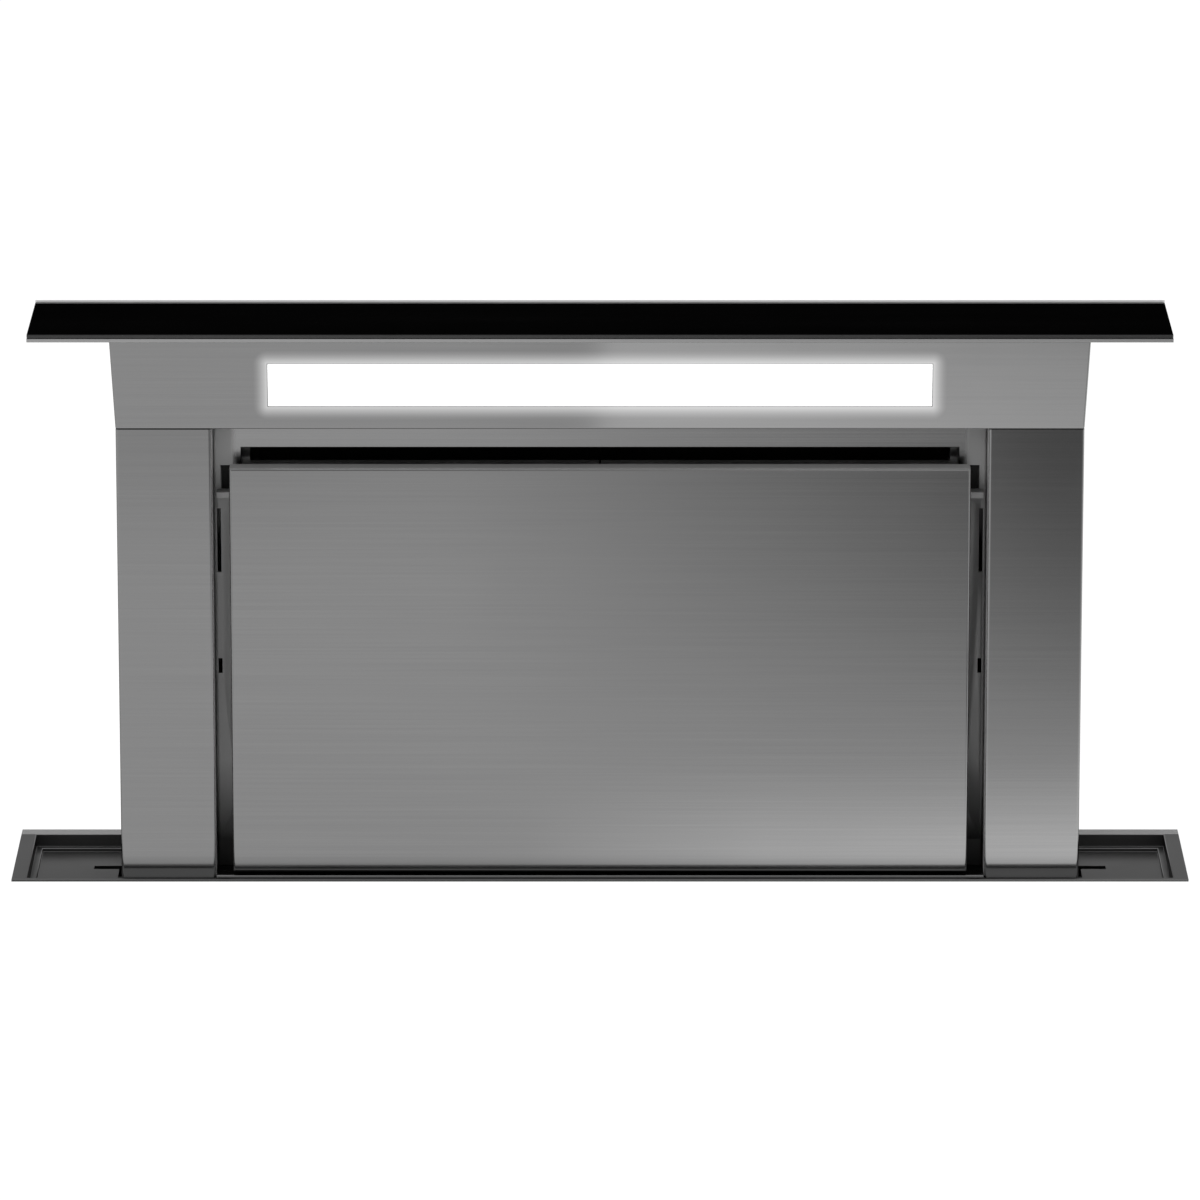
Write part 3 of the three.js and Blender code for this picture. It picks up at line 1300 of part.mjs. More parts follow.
function blowerFeet(group) {
  const floor = floorLevel - blowerZ;
  const top = -caseBelow - GAP;
  const profile = [
    [0, floor],
    [BLOWER_FOOT_RADIUS, floor],
    [BLOWER_FOOT_RADIUS, floor + BLOWER_FOOT_DISC / 2],
    [BLOWER_FOOT_STUD, floor + BLOWER_FOOT_DISC],
    [BLOWER_FOOT_STUD, top],
    [0, top],
  ];
  const y = -caseDepth + BLOWER_FOOT_INSET;
  const foot = turned(profile, SMALL_ROUND);
  piece(group, "right_blower_foot", foot.translate([caseRight - BLOWER_FOOT_INSET, y, 0]), blackPlastic);
  piece(group, "left_blower_foot", foot.translate([-caseLeft + BLOWER_FOOT_INSET, y, 0]), blackPlastic);
}

/** The control box on the housing's front, with a lid and a gland below. */
function controlBox(parent) {
  const group = new THREE.Group();
  const centre = housingHalf - CONTROL_INSET - CONTROL_WIDTH / 2;
  group.position.set(centre, housingFront - GAP, -CONTROL_DROP);
  parent.add(group);
  const half = CONTROL_WIDTH / 2;
  const wall = CONTROL_WALL;
  const outline = (inset) =>
    softRectangle(-half + inset, half - inset, -CONTROL_HEIGHT + inset, -inset, CONTROL_CORNER - inset);
  const body = deep(outline(0), [-CONTROL_DEPTH, 0]);
  const inside = deep(outline(wall), [-CONTROL_DEPTH - PAST, -wall]);
  const glandHole = bar(GLAND_NECK_RADIUS + GAP, [-CONTROL_HEIGHT - PAST, -CONTROL_HEIGHT + wall + PAST]);
  const glandPlace = [half / 2, -CONTROL_DEPTH / 2, 0];
  piece(group, "control_box", cut(body, inside, glandHole.translate(glandPlace)), zinc);
  const lid = deep(outline(0), [-CONTROL_DEPTH - GAP - wall, -CONTROL_DEPTH - GAP]);
  piece(group, "control_box_lid", lid, zinc);
  const below = -CONTROL_HEIGHT - GAP;
  const gland = [
    [GLAND_BORE, below - GLAND_LENGTH],
    [GLAND_TIP_RADIUS, below - GLAND_LENGTH],
    [GLAND_RADIUS, below - GLAND_LENGTH / 2],
    [GLAND_RADIUS, below],
    [GLAND_NECK_RADIUS, below],
    [GLAND_NECK_RADIUS, below + GLAND_NECK],
    [GLAND_BORE, below + GLAND_NECK],
  ];
  piece(group, "cable_gland", turned(gland, SMALL_ROUND).translate(glandPlace), blackPlastic);
}

// ---------------------------------------------------------------- assembly

const vent = new THREE.Group();
vent.name = "downdraft_vent";
housing(vent);
pair(vent, "rack", rack(), bareSteel);
pair(vent, "guide_rail", rail(), bareSteel);
column(vent);
suctionPanel(vent);
crossShaft(vent);
blower(vent);

export default vent;
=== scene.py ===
"""Downdraft vent with a rising column, dressed for a plain studio view. Metres, +Z up."""

import json
import logging
import math
from dataclasses import dataclass, field
from enum import Enum, IntEnum
from typing import NamedTuple

import bmesh
import bpy
from mathutils import Matrix, Vector

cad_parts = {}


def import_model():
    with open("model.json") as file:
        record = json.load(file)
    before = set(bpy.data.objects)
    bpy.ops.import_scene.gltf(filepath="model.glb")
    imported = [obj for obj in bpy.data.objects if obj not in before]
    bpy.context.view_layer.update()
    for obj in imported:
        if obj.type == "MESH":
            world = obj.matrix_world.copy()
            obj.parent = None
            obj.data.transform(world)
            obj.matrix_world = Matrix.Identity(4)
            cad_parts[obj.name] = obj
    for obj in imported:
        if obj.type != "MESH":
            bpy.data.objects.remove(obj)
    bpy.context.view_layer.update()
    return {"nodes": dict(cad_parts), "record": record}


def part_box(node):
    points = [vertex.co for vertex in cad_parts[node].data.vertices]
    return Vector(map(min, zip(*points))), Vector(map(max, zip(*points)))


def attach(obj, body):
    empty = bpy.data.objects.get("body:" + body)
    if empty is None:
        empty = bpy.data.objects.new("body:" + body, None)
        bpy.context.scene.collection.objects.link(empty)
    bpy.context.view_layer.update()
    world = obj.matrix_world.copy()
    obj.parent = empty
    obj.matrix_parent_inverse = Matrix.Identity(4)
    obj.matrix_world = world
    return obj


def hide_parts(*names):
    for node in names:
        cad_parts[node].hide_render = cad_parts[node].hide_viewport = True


LOG = logging.getLogger("downdraft_vent")
WHITE = (1.0, 1.0, 1.0, 1.0)
SHARP_ANGLE = math.radians(40)
ROUND_PROFILE = 0.5

Triple = tuple[float, float, float]
Socket = bpy.types.NodeSocket
Material = bpy.types.Material
Mesh = bmesh.types.BMesh
Colour = tuple[float, ...]

UNTINTED: Triple = (1.0, 1.0, 1.0)

# ---------------- node trees


class Axis(IntEnum):
    """The frame's axes, in the order of a point's values."""

    X = 0
    Y = 1
    Z = 2


class Ramp(NamedTuple):
    """A range that is read from low to high, and what its two ends become."""

    low: float
    high: float
    to_low: float = 0.0
    to_high: float = 1.0


class Noise(NamedTuple):
    """Cells per metre along X, Y and Z, and how many finer layers are added."""

    scale: Triple
    detail: float = 2.0


class Graph:
    """A shader tree that is written one node at a time."""

    usual_low = 0.3
    usual_high = 0.7

    def __init__(self, tree: bpy.types.NodeTree) -> None:
        """Empties the tree.

        Args:
            tree: The node tree of a material or a world.
        """
        self.tree = tree
        tree.nodes.clear()

    def add(self, kind: str, sockets: dict | None = None, **settings: object) -> bpy.types.Node:
        """Adds a node, links or fills its sockets and sets its options.

        Args:
            kind: The node's type, without the ShaderNode prefix.
            sockets: Input name or number to a value or to another node's output.
            settings: The node's own options.

        Returns:
            The new node.
        """
        node = self.tree.nodes.new("ShaderNode" + kind)
        for option, value in settings.items():
            setattr(node, option, value)
        for key, value in (sockets or {}).items():
            if isinstance(value, Socket):
                self.tree.links.new(value, node.inputs[key])
            else:
                node.inputs[key].default_value = value
        return node

    def math(self, operation: str, *values: object) -> Socket:
        """Returns the result of a Math node on the given values or sockets."""
        node = self.add("Math", dict(enumerate(values)), operation=operation)
        return node.outputs[0]

    def total(self, operation: str, first: object, *others: object) -> Socket:
        """Joins any number of values by one Math operation."""
        joined = first
        for other in others:
            joined = self.math(operation, joined, other)
        return joined

    def weigh(self, shares: tuple[float, ...], *values: Socket) -> Socket:
        """Adds values up, each by its share."""
        parts = (self.math("MULTIPLY", *pair) for pair in zip(values, shares))
        return self.total("ADD", *parts)

    def spread(self, value: object, ramp: Ramp) -> Socket:
        """Maps a value from one range to another and keeps it inside.

        Args:
            value: The socket to map.
            ramp: The range that is read and what its ends become.

        Returns:
            The mapped socket.
        """
        return self.add("MapRange", {0: value, **dict(enumerate(ramp, 1))}, clamp=True).outputs[0]

    def vary(self, noise: Socket, to_low: float, to_high: float) -> Socket:
        """Maps the range that holds nearly all of a noise's values to another."""
        return self.spread(noise, Ramp(self.usual_low, self.usual_high, to_low, to_high))

    def blend(self, factor: object, first: object, second: object) -> Socket:
        """Returns a colour between two, by a factor."""
        node = self.add("Mix", {0: factor, 6: first, 7: second}, data_type="RGBA")
        return node.outputs[2]

    def place(self, scale: Triple) -> Socket:
        """Returns the object's own coordinates, stretched by a scale."""
        coords = self.add("TexCoord").outputs["Object"]
        return self.add("Mapping", {"Vector": coords, "Scale": scale}).outputs[0]

    def axes(self, output: str = "Object") -> bpy.types.NodeOutputs:
        """Returns X, Y and Z of one of the texture coordinates."""
        coords = self.add("TexCoord").outputs[output]
        return self.add("SeparateXYZ", {0: coords}).outputs

    def upward(self) -> Socket:
        """Returns one on level faces, whichever way they look, and nothing on upright ones."""
        normal = self.add("NewGeometry").outputs["Normal"]
        return self.math("ABSOLUTE", self.add("SeparateXYZ", {0: normal}).outputs[2])

    def noise(self, noise: Noise) -> Socket:
        """Returns noise in the object's own coordinates, around 0.5."""
        sockets = {"Vector": self.place(noise.scale), "Scale": 1.0, "Detail": noise.detail}
        return self.add("TexNoise", sockets).outputs[0]

    def bump(self, height: object, strength: float, distance: float) -> Socket:
        """Returns a normal that follows a height."""
        sockets = {"Height": height, "Strength": strength, "Distance": distance}
        return self.add("Bump", sockets).outputs[0]

    def surface(self, sockets: dict) -> None:
        """Ends the tree in a Principled surface with these sockets."""
        shader = self.add("BsdfPrincipled", sockets)
        self.add("OutputMaterial", {"Surface": shader.outputs[0]})


def grey(level: float, tint: Triple = UNTINTED) -> Colour:
    """Returns an opaque colour from a linear level and a tint."""
    return (*(level * part for part in tint), 1.0)


def span(level: float, shares: tuple[float, float], tint: Triple) -> list[Colour]:
    """Returns a finish's darkest and lightest colour, by their shares of its level."""
    return [grey(level * share, tint) for share in shares]


def fresh(name: str) -> tuple[Material, Graph]:
    """Makes an empty material.

    Args:
        name: The material's name.

    Returns:
        The material and its node tree.
    """
    material = bpy.data.materials.new(name)
    material.use_nodes = True
    return material, Graph(material.node_tree)


# ---------------- finishes


@dataclass(frozen=True)
class LampSpill:
    """Painted light: a glow, given as emission, for the light the lens throws on the steel beside
    it, past its seam.
    """

    half_length: float
    half_height: float
    centre_z: float
    reach: float = 0.0115
    strength: float = 0.42
    falloff: float = 1.6
    seam: float = 0.0007
    seam_share: float = 0.3
    front: Ramp = Ramp(0.0185, 0.0195, 1.0, 0.0)

    def glow(self, graph: Graph) -> Socket:
        """Returns the spill's strength over the surface, highest just past the seam."""
        x, y, z = graph.axes()
        side = graph.math("SUBTRACT", graph.math("ABSOLUTE", x), self.half_length)
        rise = graph.math("ABSOLUTE", graph.math("SUBTRACT", z, self.centre_z))
        beside = graph.math("MAXIMUM", side, 0.0)
        above = graph.math("MAXIMUM", graph.math("SUBTRACT", rise, self.half_height), 0.0)
        squares = (graph.math("POWER", part, 2.0) for part in (beside, above))
        far = graph.math("SQRT", graph.math("ADD", *squares))
        near = graph.math("POWER", graph.spread(far, Ramp(0.0, self.reach, 1.0, 0.0)), self.falloff)
        past = graph.spread(far, Ramp(self.seam / 2, self.seam, self.seam_share, 1.0))
        return graph.total("MULTIPLY", near, past, graph.spread(y, self.front), self.strength)


@dataclass(frozen=True)
class DeepShade:
    """How steel at the bottom of a narrow gap loses its light, by height."""

    heights: Ramp

    def share(self, graph: Graph) -> Socket:
        """Returns the share of the light that is left at each height."""
        return graph.spread(graph.axes()[Axis.Z], self.heights)


@dataclass(frozen=True)
class WallShade:
    """How the upright walls of a shallow pressing stay darker than its flat parts."""

    faces: Ramp = Ramp(0.2, 0.8, 0.3, 1.0)

    def share(self, graph: Graph) -> Socket:
        """Returns the share of the light that is left on each face."""
        return graph.spread(graph.upward(), self.faces)


@dataclass(frozen=True)
class PaintedLight:
    """Painted light: a plain grey, duller band between two distances from the middle along an axis.
    """

    axis: Axis
    low: float
    high: float = 1.0
    level: float = 0.3
    metallic: float = 0.2
    roughness: float = 0.45
    soft: float = 0.00002

    def share(self, graph: Graph) -> Socket:
        """Returns one between the two distances and nothing elsewhere."""
        far = graph.math("ABSOLUTE", graph.axes()[self.axis])
        past = graph.spread(far, Ramp(self.low - self.soft, self.low + self.soft))
        return graph.math("MULTIPLY", past, graph.math("LESS_THAN", far, self.high))


@dataclass(frozen=True)
class BrushedSteel:
    """Stainless sheet with fine horizontal brushing that goes round its bends."""

    name: str
    level: float = 0.3
    roughness: float = 0.12
    contrast: float = 0.05
    spill: LampSpill | None = None
    shade: DeepShade | WallShade | None = None
    painted_light: PaintedLight | None = None
    upright_grain: Noise = Noise((2.5, 2.5, 1500.0), 3.0)
    lying_grain: Noise = Noise((2.5, 1500.0, 2.5), 3.0)
    lying_above: float = 0.75
    streaks: Noise = Noise((5.0, 5.0, 420.0))
    clouds: Noise = Noise((4.0, 4.0, 7.0))
    shares: Triple = (0.5, 0.3, 0.2)
    tones: Ramp = Ramp(0.36, 0.64)
    cool: Triple = (1.0, 1.0, 1.005)
    handled: Noise = Noise((9.0, 9.0, 9.0), 3.0)
    marks: Ramp = Ramp(0.5, 0.75, 0.0, 0.03)
    finer: float = 0.02
    coarser: float = 0.03
    shadow: float = 0.004
    edge_tint: float = 0.35
    grain_strength: float = 0.05
    grain_depth: float = 0.00002

    def build(self) -> Material:
        """Returns the material."""
        material, graph = fresh(self.name)
        lines = self.lines(graph)
        colour = self.tone(graph, lines)
        rough = self.polish(graph, lines)
        metallic = 1.0
        # Painted light: a band painted a plain grey and made duller, where the steel should look
        # lit.
        if self.painted_light:
            painted_light_share = self.painted_light.share(graph)
            colour = graph.blend(painted_light_share, colour, grey(self.painted_light.level))
            metallic = graph.spread(painted_light_share, Ramp(0.0, 1.0, 1.0, self.painted_light.metallic))
            rough = graph.math("MAXIMUM", rough, graph.math("MULTIPLY", painted_light_share, self.painted_light.roughness))
        if self.shade:
            colour = graph.blend(self.shade.share(graph), grey(self.shadow), colour)
        sockets = {
            "Base Color": colour,
            "Roughness": rough,
            "Metallic": metallic,
            "Specular Tint": grey(self.edge_tint),
            "Normal": graph.bump(lines, self.grain_strength, self.grain_depth),
        }
        # Painted glow beside the lens, given as emission.
        if self.spill:
            sockets["Emission Color"] = WHITE
            sockets["Emission Strength"] = self.spill.glow(graph)
        graph.surface(sockets)
        return material

    def lines(self, graph: Graph) -> Socket:
        """Returns the brushing, which is level on upright faces and runs along X on lying ones."""
        lying = graph.math("GREATER_THAN", graph.upward(), self.lying_above)
        sockets = {0: lying, 2: graph.noise(self.upright_grain), 3: graph.noise(self.lying_grain)}
        return graph.add("Mix", sockets).outputs[0]

    def tone(self, graph: Graph, lines: Socket) -> Socket:
        """Returns the colour, which wanders a little by line, streak and cloud."""
        streaks, clouds = graph.noise(self.streaks), graph.noise(self.clouds)
        mixed = graph.weigh(self.shares, lines, streaks, clouds)
        dark = grey(self.level * (1 - self.contrast), self.cool)
        light = grey(self.level * (1 + self.contrast))
        return graph.blend(graph.spread(mixed, self.tones), dark, light)

    def polish(self, graph: Graph, lines: Socket) -> Socket:
        """Returns the roughness, which rises with the lines and where hands have been."""
        brushed = graph.vary(lines, self.roughness - self.finer, self.roughness + self.coarser)
        return graph.math("ADD", brushed, graph.spread(graph.noise(self.handled), self.marks))


@dataclass(frozen=True)
class GalvanisedSheet:
    """Zinc-coated sheet with a faint spangle."""

    name: str = "galvanised_sheet"
    level: float = 0.34
    darkest: float = 0.8
    lightest: float = 1.25
    cool: Triple = (0.97, 0.99, 1.0)
    cells: Triple = (85.0, 85.0, 85.0)
    patches: Noise = Noise((14.0, 14.0, 14.0), 4.0)
    shares: tuple[float, float] = (0.4, 0.6)
    roughness: Ramp = Ramp(0.2, 0.8, 0.38, 0.55)
    metallic: float = 0.9

    def build(self) -> Material:
        """Returns the material."""
        material, graph = fresh(self.name)
        cells = {"Vector": graph.place(self.cells), "Scale": 1.0}
        spangle = graph.add("TexVoronoi", cells).outputs["Color"]
        shade = graph.add("SeparateXYZ", {0: spangle}).outputs[0]
        mixed = graph.weigh(self.shares, shade, graph.noise(self.patches))
        dark, light = grey(self.level * self.darkest, self.cool), grey(self.level * self.lightest)
        sockets = {
            "Base Color": graph.blend(mixed, dark, light),
            "Roughness": graph.spread(mixed, self.roughness),
            "Metallic": self.metallic,
        }
        graph.surface(sockets)
        return material


@dataclass(frozen=True)
class BlackGlass:
    """Black tempered glass with ground edges, a polished face and faint wiping marks."""

    name: str = "black_glass"
    clean: float = 0.0008
    wiped: float = 0.0022
    ground: float = 0.035
    flat_faces: Ramp = Ramp(0.3, 0.7)
    wipes: Noise = Noise((3.0, 26.0, 3.0), 4.0)
    roughness: Ramp = Ramp(0.35, 0.7, 0.02, 0.045)
    specular: float = 0.36
    refraction: float = 1.45

    def build(self) -> Material:
        """Returns the material."""
        material, graph = fresh(self.name)
        wipes = graph.noise(self.wipes)
        polished = graph.blend(wipes, grey(self.clean), grey(self.wiped))
        flat = graph.spread(graph.upward(), self.flat_faces)
        sockets = {
            "Base Color": graph.blend(flat, grey(self.ground), polished),
            "Roughness": graph.spread(wipes, self.roughness),
            "Specular IOR Level": self.specular,
            "IOR": self.refraction,
        }
        graph.surface(sockets)
        return material


@dataclass(frozen=True)
class LitOpal:
    """Opal diffuser with the lamp on; the row of diodes shows as a slight swell of light."""

    name: str = "lit_opal"
    strength: float = 1.15
    dip: float = 0.97
    dark: float = 0.86
    light: float = 0.92
    roughness: float = 0.45
    swell: Noise = Noise((60.0, 4.0, 20.0), 1.0)

    def build(self) -> Material:
        """Returns the material."""
        material, graph = fresh(self.name)
        across = graph.noise(self.swell)
        sockets = {
            "Base Color": graph.blend(across, grey(self.dark), grey(self.light)),
            "Roughness": self.roughness,
            "Emission Color": WHITE,
            "Emission Strength": graph.vary(across, self.strength * self.dip, self.strength),
        }
        graph.surface(sockets)
        return material


@dataclass(frozen=True)
class MachinedMetal:
    """Cut or drawn metal: fine tool lines, patchy oil and duller hollows."""

    name: str
    level: float
    tint: Triple = UNTINTED
    roughness: float = 0.32
    duller: float = 0.16
    darkest_lightest: tuple[float, float] = (0.78, 1.18)
    tool_lines: Noise = Noise((30.0, 900.0, 900.0))
    oil: Noise = Noise((24.0, 24.0, 24.0), 4.0)
    shares: tuple[float, float] = (0.45, 0.55)
    tones: Ramp = Ramp(0.35, 0.65)
    line_strength: float = 0.1
    line_depth: float = 0.00003

    def build(self) -> Material:
        """Returns the material."""
        material, graph = fresh(self.name)
        lines, oil = graph.noise(self.tool_lines), graph.noise(self.oil)
        factor = graph.spread(graph.weigh(self.shares, lines, oil), self.tones)
        sockets = {
            "Base Color": graph.blend(factor, *span(self.level, self.darkest_lightest, self.tint)),
            "Roughness": graph.vary(oil, self.roughness, self.roughness + self.duller),
            "Metallic": 1.0,
            "Normal": graph.bump(lines, self.line_strength, self.line_depth),
        }
        graph.surface(sockets)
        return material


@dataclass(frozen=True)
class Moulded:
    """Moulded plastic, enamel or board: an even colour with mottling and a fine texture."""

    name: str
    level: float
    tint: Triple = UNTINTED
    roughness: float = 0.5
    texture: float = 900.0
    smoother: float = 0.06
    rougher: float = 0.08
    darkest_lightest: tuple[float, float] = (0.85, 1.15)
    mottling: Noise = Noise((40.0, 40.0, 40.0), 3.0)
    grain_strength: float = 0.15
    grain_depth: float = 0.0001

    def build(self) -> Material:
        """Returns the material."""
        material, graph = fresh(self.name)
        mottle = graph.noise(self.mottling)
        grain = graph.noise(Noise((self.texture,) * 3))
        least, most = self.roughness - self.smoother, self.roughness + self.rougher
        sockets = {
            "Base Color": graph.blend(mottle, *span(self.level, self.darkest_lightest, self.tint)),
            "Roughness": graph.vary(mottle, least, most),
            "Normal": graph.bump(grain, self.grain_strength, self.grain_depth),
        }
        graph.surface(sockets)
        return material


class Slot(Enum):
    """The record's material slots."""

    COLUMN_STEEL = "column_steel"
    TRIM_STEEL = "trim_steel"
    BLACK_GLASS = "black_glass"
    OPAL_LENS = "opal_lens"
    GALVANISED = "galvanised"
    BARE_STEEL = "bare_steel"
    ALUMINIUM = "aluminium"
    NYLON = "nylon"
    LED_BOARD = "led_board"
    MOTOR_BLACK = "motor_black"
    BLACK_PLASTIC = "black_plastic"


class Palette:
    """Every finish of the vent, made once and handed out by slot."""

    def __init__(self) -> None:
        """Builds all the materials."""
        warm, cold = (1.0, 0.97, 0.9), (0.99, 1.0, 0.98)
        looks = {
            Slot.COLUMN_STEEL: BrushedSteel("column_steel"),
            Slot.TRIM_STEEL: BrushedSteel("trim_steel", level=0.27, roughness=0.24),
            Slot.BLACK_GLASS: BlackGlass(),
            Slot.OPAL_LENS: LitOpal(),
            Slot.GALVANISED: GalvanisedSheet(),
            Slot.BARE_STEEL: MachinedMetal("bare_steel", level=0.3),
            Slot.ALUMINIUM: MachinedMetal("mill_aluminium", level=0.48, roughness=0.36),
            Slot.NYLON: Moulded("natural_nylon", 0.7, warm),
            Slot.LED_BOARD: Moulded("white_board", 0.75, cold, roughness=0.45, texture=300.0),
            Slot.MOTOR_BLACK: Moulded("black_enamel", 0.02, roughness=0.35, texture=400.0),
            Slot.BLACK_PLASTIC: Moulded("black_plastic", 0.025),
        }
        self.made = {slot: look.build() for slot, look in looks.items()}

    def of(self, slot: Slot) -> Material:
        """Returns a slot's material."""
        return self.made[slot]


# ---------------- making pieces


class Body(Enum):
    """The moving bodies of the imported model."""

    HOUSING = "housing"
    COLUMN = "column"
    PANEL = "suction_panel"
    SHAFT = "drive_shaft"
    IMPELLER = "impeller"
    FRONT_DAMPER = "front_damper"
    REAR_DAMPER = "rear_damper"


@dataclass
class Workshop:
    """Turns finished meshes into pieces that ride on the frame."""

    nodes: dict
    palette: Palette
    slot_of: dict[str, Slot]
    body_of: dict[str, Body]
    smooth_below: float = math.radians(37)
    weld_within: float = 0.00001
    flat_within: float = math.radians(1)

    def deliver(
        self,
        name: str,
        mesh: Mesh,
        slot: Slot,
        body: Body,
        stands_for: tuple[str, ...] = (),
        material: Material | None = None,
    ) -> bpy.types.Object:
        """Makes an object of a mesh, dresses it and lets it ride.

        Args:
            name: The piece's name.
            mesh: The finished shape, freed here.
            slot: The record's material slot.
            body: The body that carries the piece.
            stands_for: CAD nodes that the piece replaces.
            material: A material other than the slot's own.

        Returns:
            The new object.
        """
        data = bpy.data.meshes.new(name)
        mesh.to_mesh(data)
        mesh.free()
        data.shade_smooth()
        data.set_sharp_from_angle(angle=self.smooth_below)
        piece = bpy.data.objects.new(name, data)
        bpy.context.scene.collection.objects.link(piece)
        even = piece.modifiers.new("even_faces", "WEIGHTED_NORMAL")
        even.keep_sharp = True
        data.materials.append(material or self.palette.of(slot))
        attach(piece, body.value)
        if stands_for:
            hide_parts(*stands_for)
        LOG.info("%s: %d faces on %s", name, len(data.polygons), body.value)
        return piece

    def copy_of(self, node: str) -> Mesh:
        """Returns a CAD node's shape as a clean mesh with whole flat faces."""
        mesh = bmesh.new()
        mesh.from_mesh(self.nodes[node].data)
        bmesh.ops.remove_doubles(mesh, verts=mesh.verts, dist=self.weld_within)
        limit = self.flat_within
        bmesh.ops.dissolve_limit(mesh, angle_limit=limit, verts=mesh.verts, edges=mesh.edges)
        return mesh

    def renew(
        self,
        node: str,
        edges: "SheetEdges | None" = None,
        suffix: str = "skin",
        material: Material | None = None,
    ) -> bpy.types.Object:
        """Makes a piece that stands for a node, with smooth bends and eased edges.

        Args:
            node: The CAD node.
            edges: How its edges are eased, or nothing to leave them sharp.
            suffix: What the piece's name adds to the node's.
            material: A material other than the slot's own.

        Returns:
            The new object.
        """
        mesh = self.copy_of(node)
        if edges:
            edges.ease(mesh)
        name = f"{node}_{suffix}"
        return self.deliver(name, mesh, self.slot_of[node], self.body_of[node], (node,), material)


@dataclass(frozen=True)
class SheetEdges:
    """How a brake and a deburring wheel leave the edges of a sheet."""

    bend: float = 0.0012
    inner_bend: float = 0.0004
    cut: float = 0.00022
    narrow: float = 0.003
    segments: int = 3

    def ease(self, mesh: Mesh) -> Mesh:
        """Rounds the bends first and then the cut edges.

        Args:
            mesh: A closed sheet-metal shape.

        Returns:
            The same mesh.
        """
        bends = [edge for edge in self.sharp(mesh) if self.is_bend(edge)]
        outer = [edge for edge in bends if edge.is_convex]
        inner = [edge for edge in bends if not edge.is_convex]
        self.round_off(mesh, outer, self.bend, self.segments)
        self.round_off(mesh, [edge for edge in inner if edge.is_valid], self.inner_bend, 2)
        cuts = [edge for edge in self.sharp(mesh) if edge.is_convex and not self.is_bend(edge)]
        self.round_off(mesh, cuts, self.cut, 1)
        return mesh

    @staticmethod
    def sharp(mesh: Mesh) -> list[bmesh.types.BMEdge]:
        """Returns the edges where two faces meet at more than the sharp angle."""
        shared = (edge for edge in mesh.edges if len(edge.link_faces) == 2)
        return [edge for edge in shared if edge.calc_face_angle(0.0) > SHARP_ANGLE]

    def is_bend(self, edge: bmesh.types.BMEdge) -> bool:
        """Tells whether both faces beside an edge are wider than the sheet's own edge."""
        return all(self.width(face) > self.narrow for face in edge.link_faces)

    @staticmethod
    def width(face: bmesh.types.BMFace) -> float:
        """Returns a face's area over its longest side."""
        return face.calc_area() / max(side.calc_length() for side in face.edges)

    @staticmethod
    def round_off(mesh: Mesh, edges: list, offset: float, segments: int) -> None:
        """Bevels edges to a round section."""
        if edges:
            bmesh.ops.bevel(
                mesh,
                geom=edges,
                offset=offset,
                offset_type="OFFSET",
                segments=segments,
                profile=ROUND_PROFILE,
                affect="EDGES",
                clamp_overlap=True,
                material=-1,
            )


THIN_SHEET = SheetEdges(bend=0.0008, cut=0.00025, segments=2)

# ---------------- sub-assemblies


def add_block(mesh: Mesh, centre: Vector, size: Vector, stand: Matrix | None = None) -> list:
    """Adds a block to a mesh.

    Args:
        mesh: The mesh that gathers the blocks.
        centre: The block's middle.
        size: Its length along X, Y and Z.
        stand: The axes that it is placed in, or nothing for the frame's own.

    Returns:
        The block's corners.
    """
    place = Matrix.Translation(centre) @ Matrix.Diagonal((*size, 1.0))
    matrix = stand @ place if stand else place
    return bmesh.ops.create_cube(mesh, size=1.0, matrix=matrix)["verts"]


@dataclass(frozen=True)
class PanHeadScrew:
    """A small sheet-metal screw with a tapered head, a rounded rim and a round socket."""

    radius: float = 0.0036
    taper: float = 0.8
    height: float = 0.0021
    socket: float = 0.0016
    socket_depth: float = 0.55
    rounding: float = 0.0006
    sides: int = 16

    def add(self, mesh: Mesh, place: Vector, outward: Vector) -> None:
        """Adds one screw head to a mesh.

        Args:
            mesh: The mesh that gathers a row of screws.
            place: Where the head meets the sheet.
            outward: The way that the head stands.
        """
        turn = outward.to_track_quat("Z", "Y").to_matrix().to_4x4()
        stand = Matrix.Translation(place) @ turn
        top_radius = self.radius * self.taper
        made = bmesh.ops.create_cone(
            mesh,
            cap_ends=True,
            segments=self.sides,
            radius1=self.radius,
            radius2=top_radius,
            depth=self.height,
            matrix=stand @ Matrix.Translation((0.0, 0.0, self.height / 2)),
        )
        axis = (turn @ Vector((0.0, 0.0, 1.0, 0.0))).to_3d()
        faces = {face for corner in made["verts"] for face in corner.link_faces}
        top = max(faces, key=lambda face: face.calc_center_median().dot(axis))
        rim = list(top.edges)
        bmesh.ops.inset_region(mesh, faces=[top], thickness=top_radius - self.socket)
        inward = -axis * self.height * self.socket_depth
        bmesh.ops.translate(mesh, verts=list(top.verts), vec=inward)
        SheetEdges.round_off(mesh, [edge for edge in rim if edge.is_valid], self.rounding, 2)


@dataclass
class ScrewRow:
    """Screws along straight lines, gathered in one piece."""

    shop: Workshop
    name: str
    body: Body
    slot: Slot = Slot.BARE_STEEL
    screw: PanHeadScrew = field(default_factory=PanHeadScrew)

    def __post_init__(self) -> None:
        """Starts an empty mesh."""
        self.mesh = bmesh.new()

    def line(self, start: Triple, end: Triple, count: int, outward: Triple) -> "ScrewRow":
        """Sets screws at even steps from one point to another.

        Args:
            start: The first screw.
            end: The last screw.
            count: How many there are.
            outward: The way that the heads stand.

        Returns:
            The row itself.
        """
        for step in range(count):
            share = step / max(count - 1, 1)
            self.screw.add(self.mesh, Vector(start).lerp(Vector(end), share), Vector(outward))
        return self

    def deliver(self) -> None:
        """Makes the piece."""
        self.shop.deliver(self.name, self.mesh, self.slot, self.body)


